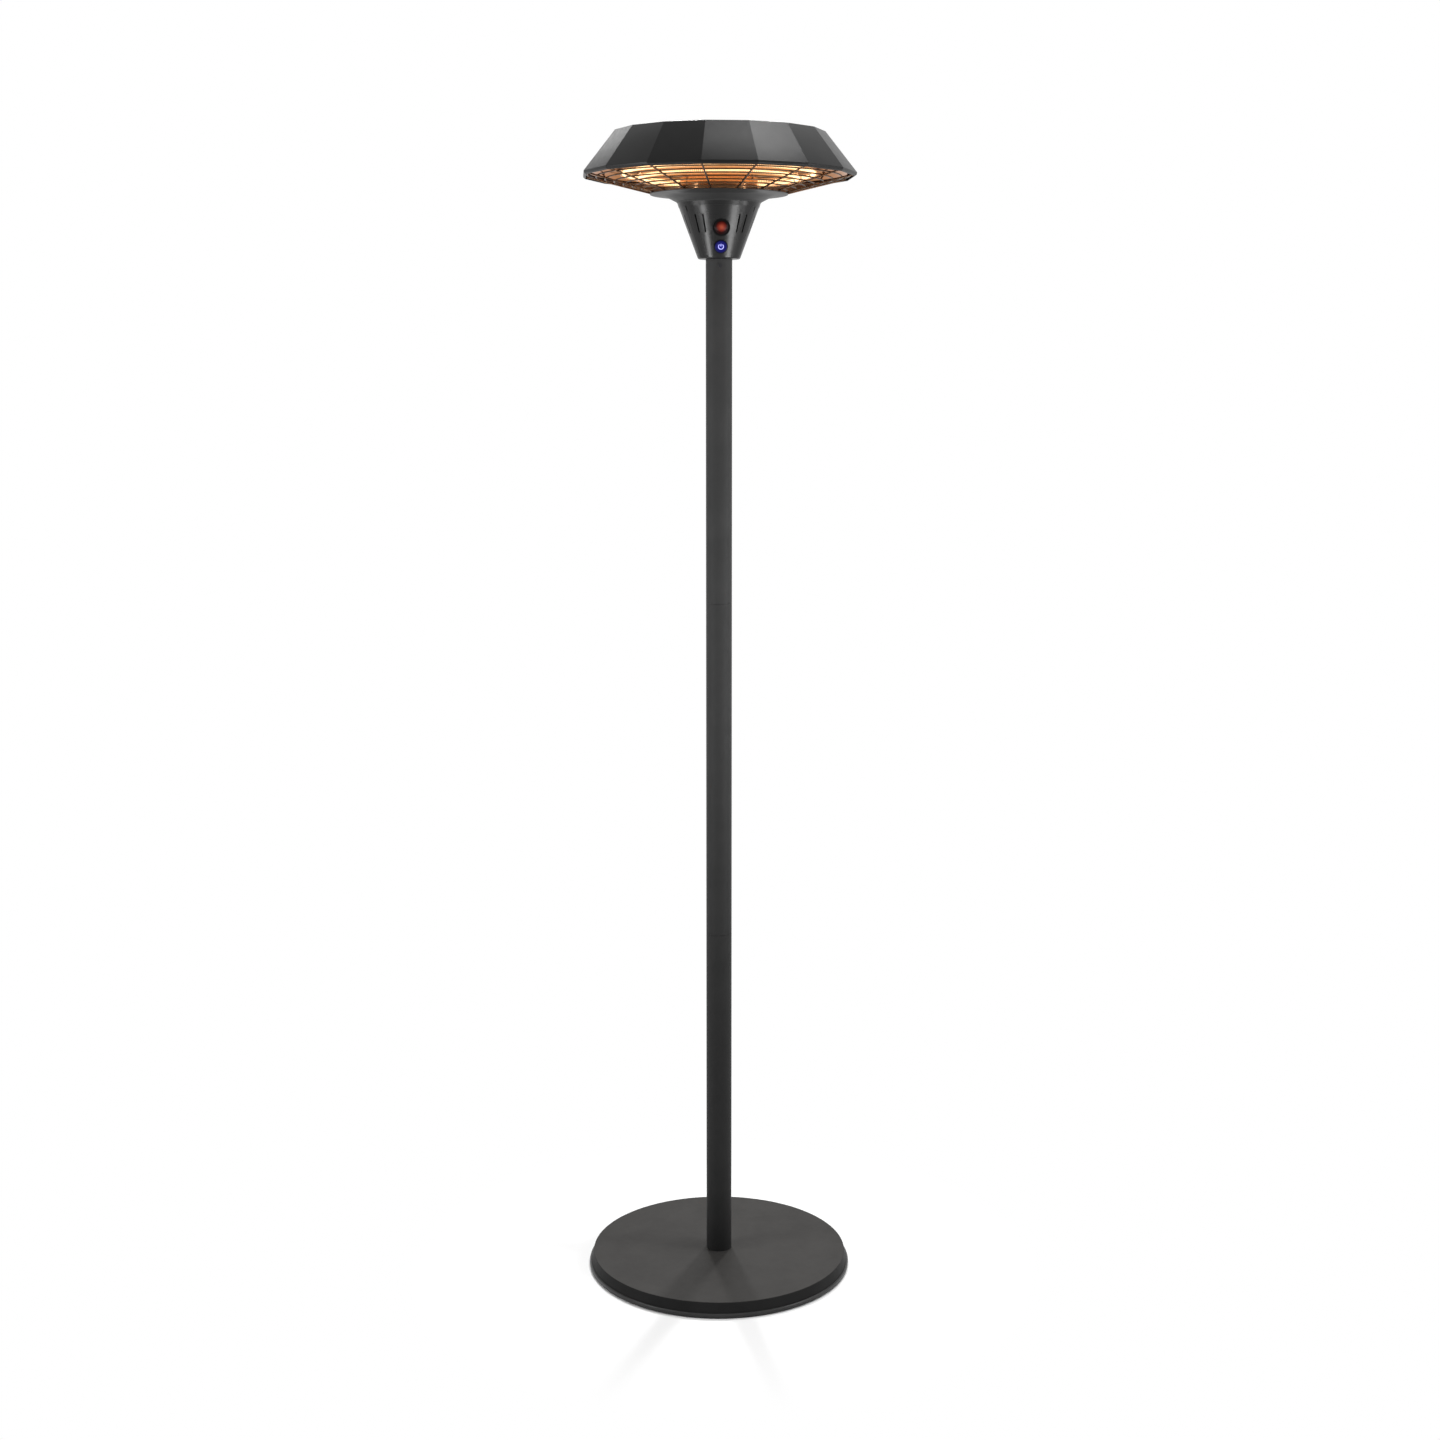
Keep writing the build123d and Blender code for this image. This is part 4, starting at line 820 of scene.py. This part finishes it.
def fold_shade():
    """Top, slope, band and lip out of one ring, then the sheet's thickness and its bends."""
    clear_selection()
    rim_middle = (0, 0, shade_rim_level)
    bpy.ops.mesh.primitive_circle_add(vertices=shade_sides, radius=shade_rim_radius, location=rim_middle)
    piece = bpy.context.object
    piece.name = "folded_shade"
    piece.rotation_euler.z = pi / shade_sides
    settle(piece)
    bpy.ops.object.mode_set(mode="EDIT")
    bpy.ops.mesh.select_all(action="SELECT")
    ring_of_shade(shade_top_radius, shade_high, shade_rim_radius, shade_rim_level)
    bpy.ops.mesh.edge_face_add()
    select_level(piece, shade_rim_level)
    band_radius = shade_rim_radius - band_draft
    band_level = shade_rim_level - band_height
    ring_of_shade(band_radius, band_level, shade_rim_radius, shade_rim_level)
    ring_of_shade(band_radius - lip_width, shade_low, band_radius, band_level)
    leave_edit(piece)
    solid = piece.modifiers.new("sheet", "SOLIDIFY")
    solid.thickness = sheet
    solid.offset = -1
    solid.use_even_offset = True
    bevel = piece.modifiers.new("folds", "BEVEL")
    bevel.width = fold_radius / 2
    bevel.segments = 3
    bevel.limit_method = "ANGLE"
    bevel.angle_limit = radians(fold_angle)
    apply_modifiers(piece)
    smooth(piece, facet_sharp)
    return piece


shade = fold_shade()
print(shade.name, "has", len(shade.data.polygons), "faces")

# %% [markdown]
# ### Countersinks
# Eight screws hold the shade from above, with their heads flush in the sheet. A maker punches the holes
# and presses each one to a cone. A Boolean with cones gives the same shape, and the cones stand where
# the frame's own screw heads lie, so that holes and heads always agree.

# %% Countersinks
sink_radius = 3.7 * mm
sink_depth = 1.9 * mm
sink_proud = 0.1 * mm
sink_sides = 32
head_width = 8 * mm


def screw_heads(node, level, reach):
    """Middles of the screw heads that lie at a level, found by grouping their corners."""
    groups = []
    for corner in (v.co for v in nodes[node].data.vertices if abs(v.co.z - level) < same_place):
        group = next((g for g in groups if (g[0] - corner).length < reach), None)
        if group is None:
            groups.append([corner.copy()])
        else:
            group.append(corner.copy())
    middles = []
    for group in groups:
        low = Vector([min(corner[axis] for corner in group) for axis in range(3)])
        high = Vector([max(corner[axis] for corner in group) for axis in range(3)])
        middles.append((low + high) / 2)
    return middles


def countersink(sheet_piece, middles):
    """Cut one cone per screw head out of the sheet, as the real sheet is countersunk after punching."""
    cutters = []
    for middle in middles:
        clear_selection()
        place = middle + Vector((0, 0, sink_proud - sink_depth / 2))
        bpy.ops.mesh.primitive_cone_add(vertices=sink_sides, radius1=sink_radius - sink_depth,
                                        radius2=sink_radius, depth=sink_depth, location=place)
        settle(bpy.context.object)
        cutters.append(bpy.context.object)
    cutter = join(cutters, "sinks")
    cut = sheet_piece.modifiers.new("sinks", "BOOLEAN")
    cut.operation = "DIFFERENCE"
    cut.object = cutter
    apply_modifiers(sheet_piece)
    bpy.data.objects.remove(cutter)
    smooth(sheet_piece, facet_sharp)


head_middles = screw_heads("shade_screws", shade_high, head_width)
countersink(shade, head_middles)
print(len(head_middles), "countersinks")
hand_over(shade, "shade_coat", "heater", "shade")

# %% [markdown]
# ## The wire guard
# The guard is welded from round wire. Sixteen straight spokes run from the collar to the shade's lip,
# and eight rings lie on top of them, the largest of thicker wire. A small weld bead fills each crossing.
# The frame's wires are plain, so they are made again here, at the places that its own corners give.

# %% Guard sizes
ring_wire = 2.5 * mm
rim_wire = 4.0 * mm
spoke_wire = 3.0 * mm
ring_count = 8
spoke_outer = widest("guard_spokes")[0]
spoke_inner = narrowest("guard_spokes")[0]


def wire_ends():
    """The two ends of a spoke's axis, as (radius, level)."""
    corners = radial_points("guard_spokes")
    near = [point for point in corners if point[0] < spoke_inner + 2 * spoke_wire]
    far = [point for point in corners if point[0] > spoke_outer - 2 * spoke_wire]
    return [(sum(r for r, z in end) / len(end), sum(z for r, z in end) / len(end)) for end in (near, far)]


(near_radius, near_level), (far_radius, far_level) = wire_ends()
guard_lean = atan2(far_level - near_level, far_radius - near_radius)
print("guard leans", round(degrees(guard_lean), 2), "degrees")

# %% [markdown]
# ### Rings
# A wire ring is a length of wire rolled round and welded shut. A torus would do for one of them. The way
# used here also makes every other turned piece: one vertex is pulled from point to point into an
# outline, and the outline is spun round the pole's axis.

# %% Outline and spin


def draw_outline(name, points, closed):
    """A new object in edit mode, whose one vertex is extruded from point to point."""
    clear_selection()
    bpy.ops.mesh.primitive_plane_add(size=mm, location=(0, 0, 0))
    piece = bpy.context.object
    piece.name = name
    bpy.ops.object.mode_set(mode="EDIT")
    bpy.ops.mesh.select_mode(type="VERT")
    bpy.ops.mesh.select_all(action="SELECT")
    bpy.ops.mesh.merge(type="CENTER")
    bpy.ops.transform.translate(value=Vector(points[0]))
    for start, end in zip(points, points[1:]):
        step = Vector(end) - Vector(start)
        bpy.ops.mesh.extrude_region_move(TRANSFORM_OT_translate={"value": step})
    if closed:
        bpy.ops.mesh.select_all(action="SELECT")
        bpy.ops.mesh.edge_face_add()
        bpy.ops.mesh.delete(type="ONLY_FACE")
    return piece


def turned(name, outline, steps, angle=2 * pi, closed=True):
    """An outline of (radius, level), spun round the axis. One that ends on the axis stays open."""
    points = [(radius, 0, level) for radius, level in outline]
    piece = draw_outline(name, points, closed)
    bpy.ops.mesh.select_all(action="SELECT")
    bpy.ops.mesh.spin(steps=steps, angle=angle, center=(0, 0, 0), axis=(0, 0, 1))
    leave_edit(piece)
    return piece


# %% Rings of the guard
ring_steps = 144
wire_sides = 12


def ring_lines():
    """Radius, level and wire radius of each ring, found by grouping the frame's corners."""
    corners = sorted(radial_points("guard_rings"))
    groups = [[corners[0]]]
    for corner in corners[1:]:
        if corner[0] - groups[-1][-1][0] > ring_wire:
            groups.append([])
        groups[-1].append(corner)
    lines = []
    for group in groups:
        radii, heights = [r for r, z in group], [z for r, z in group]
        wire = ring_wire if len(lines) < ring_count - 1 else rim_wire
        lines.append(((min(radii) + max(radii)) / 2, (min(heights) + max(heights)) / 2, wire / 2))
    return lines


def circle_outline(radius, level, wire):
    """Section of a round wire, as (radius, level)."""
    turns = [2 * pi * index / wire_sides for index in range(wire_sides)]
    return [(radius + wire * cos(turn), level + wire * sin(turn)) for turn in turns]


ring_places = ring_lines()
rings = [turned("ring", circle_outline(*place), steps=ring_steps) for place in ring_places]
hand_over(join(rings, "wire_rings"), "guard_wire", "heater", "guard_rings")
print("ring radii", [round(place[0], 4) for place in ring_places])

# %% [markdown]
# ### Spokes and welds
# A spoke is a straight wire, cut with shears, so its ends are slightly rounded by a bevel. An Array
# modifier could repeat it, but copies with their own mesh are easier to join and to export. A weld bead
# is a small flattened drop: a ball that is scaled, turned to the slope of the guard and smoothed.

# %% Spokes
spoke_end_round = 0.35
spoke_end_angle = 60


def straight_wire(name, start, end, wire):
    """A round rod from point to point, with its ends slightly rounded."""
    clear_selection()
    line = Vector(end) - Vector(start)
    bpy.ops.mesh.primitive_cylinder_add(vertices=wire_sides, radius=wire, depth=line.length,
                                        end_fill_type="NGON")
    rod = bpy.context.object
    rod.name = name
    rod.rotation_euler = line.to_track_quat("Z", "Y").to_euler()
    rod.location = (Vector(start) + Vector(end)) / 2
    settle(rod)
    bevel = rod.modifiers.new("ends", "BEVEL")
    bevel.width = wire * spoke_end_round
    bevel.segments = 2
    bevel.limit_method = "ANGLE"
    bevel.angle_limit = radians(spoke_end_angle)
    apply_modifiers(rod)
    smooth(rod, sharp=40)
    return rod


def copy_to(piece, place):
    """Copy with its own mesh, moved by a matrix in its mesh."""
    twin = piece.copy()
    twin.data = piece.data.copy()
    bpy.context.scene.collection.objects.link(twin)
    twin.data.transform(place)
    return twin


def around_axis(piece, count, first_angle):
    """Copies of a piece, turned round the axis. They take the place of the piece itself."""
    angles = [first_angle + 2 * pi * index / count for index in range(count)]
    twins = [copy_to(piece, Matrix.Rotation(angle, 4, "Z")) for angle in angles]
    bpy.data.objects.remove(piece)
    return twins


first_spoke = pi / shade_sides
spoke = straight_wire("spoke", (near_radius, 0, near_level), (far_radius, 0, far_level), spoke_wire / 2)
spokes = around_axis(spoke, shade_sides, first_spoke)
hand_over(join(spokes, "wire_spokes"), "guard_wire", "heater", "guard_spokes")

# %% Weld beads
bead_radius = 2.1 * mm
bead_scale = (1.1, 1.0, 0.75)
bead_segments = 8
bead_rings = 5
bead_melt = 0.3


def weld_bead(radius, level):
    """A flattened drop between a spoke and the ring on it."""
    clear_selection()
    bpy.ops.mesh.primitive_uv_sphere_add(segments=bead_segments, ring_count=bead_rings,
                                         radius=bead_radius, location=(radius, 0, level))
    bead = bpy.context.object
    bead.scale = bead_scale
    bead.rotation_euler.y = -guard_lean
    settle(bead)
    bpy.ops.object.mode_set(mode="EDIT")
    bpy.ops.mesh.select_all(action="SELECT")
    bpy.ops.mesh.vertices_smooth(factor=bead_melt)
    leave_edit(bead, sharp=80)
    return bead


def spoke_level(radius):
    """Level of a spoke's middle at a distance from the axis."""
    return near_level + (radius - near_radius) * tan(guard_lean)


beads = []
for ring_radius, ring_level, wire in ring_places:
    between = (ring_level + spoke_level(ring_radius)) / 2
    beads += around_axis(weld_bead(ring_radius, between), shade_sides, first_spoke)
hand_over(join(beads, "guard_welds"), "guard_wire", "heater")

# %% [markdown]
# ## The ring lamps
# Each lamp is a quartz tube bent to an open ring, with a tungsten spiral down its middle. The tube is a
# small circle that is spun round the axis and stops short of the rear. A second circle inside it makes
# the bore. The spiral could be a curve with a formula for its turns, but a wire is really wound straight
# and bent later. So it is a straight coil first, made with the Screw modifier, and Simple Deform then
# bends it to the ring.

# %% Lamp tubes
tube_radius = 5.5 * mm
tube_wall = 1.0 * mm
tube_sides = 24
tube_steps = 120
rear_share = 0.9


def lamp_line(node):
    """Radius and level of a ring lamp's middle, and half of its opening at the rear."""
    inside, outside = narrowest(node)[0], widest(node)[0]
    low, high = levels(node)
    radius = (inside + outside) / 2
    ends = [abs(v.co.x) for v in nodes[node].data.vertices if v.co.y > rear_share * radius]
    return radius, (low + high) / 2, atan2(min(ends), radius)


def bent_tube(name, node):
    """Wall of a tube as a ring-shaped outline, spun from one end of the opening to the other."""
    radius, level, gap = lamp_line(node)
    clear_selection()
    bpy.ops.mesh.primitive_circle_add(vertices=tube_sides, radius=tube_radius,
                                      location=(radius, 0, level), rotation=(pi / 2, 0, 0))
    tube = bpy.context.object
    tube.name = name
    settle(tube)
    bpy.ops.object.mode_set(mode="EDIT")
    bpy.ops.mesh.select_all(action="SELECT")
    bpy.ops.mesh.extrude_region()
    share = (tube_radius - tube_wall) / tube_radius
    bpy.ops.transform.resize(value=(share, 1, share), center_override=(radius, 0, level))
    bpy.ops.mesh.select_all(action="SELECT")
    bpy.ops.mesh.spin(steps=tube_steps, angle=2 * pi - 2 * gap, center=(0, 0, 0), axis=(0, 0, 1))
    leave_edit(tube, sharp=40)
    tube.rotation_euler.z = pi / 2 - gap
    settle(tube)
    return tube


for tube_name, lamp_node in (("outer_tube", "lamp_outer"), ("inner_tube", "lamp_inner")):
    hand_over(bent_tube(tube_name, lamp_node), "gold_quartz", "heater", lamp_node)
    print(lamp_node, [round(value, 4) for value in lamp_line(lamp_node)])

# %% Filament spirals
coil_radius = 2.4 * mm
coil_wire = 0.55 * mm
coil_pitch = 3.6 * mm
coil_steps = 14
coil_sides = 6


def bent_spiral(name, lamp_node):
    """A straight coil along X, bent round the axis into an open ring."""
    radius, level, gap = lamp_line(lamp_node)
    length = radius * (2 * pi - 2 * gap)
    turns = int(length / coil_pitch)
    clear_selection()
    bpy.ops.mesh.primitive_circle_add(vertices=coil_sides, radius=coil_wire, location=(0, coil_radius, 0))
    coil = bpy.context.object
    coil.name = name
    settle(coil)
    screw = coil.modifiers.new("turns", "SCREW")
    screw.axis = "X"
    screw.angle = 2 * pi
    screw.screw_offset = length / turns
    screw.iterations = turns
    screw.steps = coil_steps
    screw.render_steps = coil_steps
    apply_modifiers(coil)
    reach = [corner.co.x for corner in coil.data.vertices]
    coil.location.x = -(min(reach) + max(reach)) / 2
    settle(coil)
    bend = coil.modifiers.new("ring", "SIMPLE_DEFORM")
    bend.deform_method = "BEND"
    bend.deform_axis = "Z"
    bend.angle = (max(reach) - min(reach)) / radius
    apply_modifiers(coil)
    coil.location = (0, -radius, level)
    settle(coil)
    smooth(coil, sharp=60)
    return coil


for coil_name, node, lamp_node in (("outer_spiral", "filament_outer", "lamp_outer"),
                                   ("inner_spiral", "filament_inner", "lamp_inner")):
    spiral = bent_spiral(coil_name, lamp_node)
    hand_over(spiral, "filament", "heater", node)
    print(coil_name, "spans", [round(value, 4) for value in spiral.dimensions])

# %% [markdown]
# ## The gauze behind the slots
# The vent slots are backed with a fine black gauze, a dark sheet that stands in for the shade inside the
# housing: painted shade. Without it one looks right through the hollow housing. A real weave would take a
# million tiny wires for a strip that is hardly seen, so its fibres are in the finish. The gauze itself is
# a thin sheet that follows the inside of the wall, from one side of the button panel round the rear to
# the other side.

# %% Gauze
gauze_sheet = 0.3 * mm
gauze_gap = 0.4 * mm
gauze_levels = (1.948, 1.9815)
gauze_opening = radians(19)
gauze_steps = 96
gauze_thread = 1.2 * mm
spigot_clear = 40 * mm
wall_window = 4 * mm


# A black sheet standing in for the shade inside the housing: painted shade.
def painted_shade_gauze():
    """Painted shade: a black fibre mesh, too fine to look through from the outside, standing in for the
    dark inside of the housing.
    """
    mesh_cloth = finish("painted_shade_gauze", (0.004, 0.004, 0.004), 0.9, specular=0.02)
    vary_colour(mesh_cloth, gauze_thread, grey(0.002), grey(0.006), detail=0.0)
    return grain(mesh_cloth, gauze_thread, 0.1 * mm, detail=0.0)


def wall_inside(level):
    """Inner radius of the housing's wall at a level, read off the rear shell's own corners."""
    wall = [(r, z) for r, z in radial_points("housing_rear_shell") if r > spigot_clear]
    return min(r - (z - level) * tan(front_lean) for r, z in wall if abs(z - level) < wall_window)


def slot_gauze():
    """A strip on the inside of the wall, open behind the button panel."""
    outside = [(wall_inside(level) - gauze_gap, level) for level in gauze_levels]
    inside = [(radius - gauze_sheet, level) for radius, level in reversed(outside)]
    sheet_piece = turned("slot_gauze", outside + inside, steps=gauze_steps,
                         angle=2 * pi - 2 * gauze_opening)
    sheet_piece.rotation_euler.z = -pi / 2 - gauze_opening
    return sheet_piece


gauze = slot_gauze()
hand_over(gauze, "black_plastic", "heater", material=painted_shade_gauze())

# %% [markdown]
# ## The power button
# A finger presses this cap, so its face is dished. It is moulded in clear blue plastic over a lamp, and
# the sign in its middle shines. The cap is a turned piece. The sign is an open ring and a bar, a little
# raised. It could be a picture on the cap, but as a shape it also catches the light. Both are modelled
# round the pole's axis and then laid onto the sloping front of the housing.

# %% Button cap
button_length = 14.3 * mm
button_cap = 4.0 * mm
button_stem = 3.0 * mm
button_edge = 0.8 * mm
button_steps = 64
dish_in_mm = [(9.3, 0.0), (8.6, -0.10), (7.4, -0.33), (5.8, -0.58), (4.0, -0.76), (2.0, -0.86),
              (0.0, -0.90)]


def laid_on_front(piece):
    """Turn a piece's own axis to the button's axis and move it to the middle of the button's face."""
    up = Vector((0, -sin(front_lean), cos(front_lean)))
    turn = Matrix((Vector((1, 0, 0)), up, button_out)).transposed().to_4x4()
    piece.data.transform(Matrix.Translation(button_face) @ turn)
    return piece


def button_cap_outline():
    """Stem, underside, rounded edge and dish, from the axis round to the axis, as (radius, level)."""
    under = [(0, -button_length), (button_stem, -button_length),
             (button_stem, -button_cap), (button_radius, -button_cap)]
    corner = [(button_radius - button_edge * (1 - sin(turn)), -button_edge * (1 - cos(turn)))
              for turn in (pi / 2, pi / 3, pi / 6, 0)]
    return under + corner + [(radius * mm, level * mm) for radius, level in dish_in_mm]


cap = laid_on_front(turned("button_cap", button_cap_outline(), steps=button_steps, closed=False))
hand_over(cap, "button_blue", "button", "power_button")

# %% Power sign
sign_radius = 4.5 * mm
sign_line = 1.2 * mm
sign_gap = radians(34)
sign_level = -0.45 * mm
sign_depth = 0.7 * mm
sign_steps = 48
sign_bar_foot = 0.15


def symbol_light():
    """Milky plastic that the lamp behind it fills with pale blue light."""
    plastic = grain(finish("lit_symbol", (0.06, 0.06, 0.30), 0.3), 0.5 * mm, 0.001 * mm)
    return glow(plastic, (0.55, 0.56, 1.0), 1.15)


def power_sign():
    """Open ring and bar."""
    inside, outside = sign_radius - sign_line / 2, sign_radius + sign_line / 2
    foot = sign_level - sign_depth
    section = [(inside, 0, sign_level), (outside, 0, sign_level), (outside, 0, foot), (inside, 0, foot)]
    ring = draw_outline("power_sign", section, closed=False)
    bpy.ops.mesh.select_all(action="SELECT")
    bpy.ops.mesh.edge_face_add()
    bpy.ops.mesh.spin(steps=sign_steps, angle=2 * pi - 2 * sign_gap, center=(0, 0, 0), axis=(0, 0, 1))
    leave_edit(ring, sharp=40)
    ring.rotation_euler.z = pi / 2 - sign_gap
    settle(ring)
    clear_selection()
    bar_foot = sign_radius * sign_bar_foot
    bar_middle = (0, (bar_foot + outside) / 2, sign_level - sign_depth / 2)
    bpy.ops.mesh.primitive_cube_add(size=1, location=bar_middle)
    bar = bpy.context.object
    bar.scale = (sign_line, outside - bar_foot, sign_depth)
    settle(bar)
    return join([ring, bar], "power_sign")


sign = laid_on_front(power_sign())
hand_over(sign, "button_blue", "button", material=symbol_light())
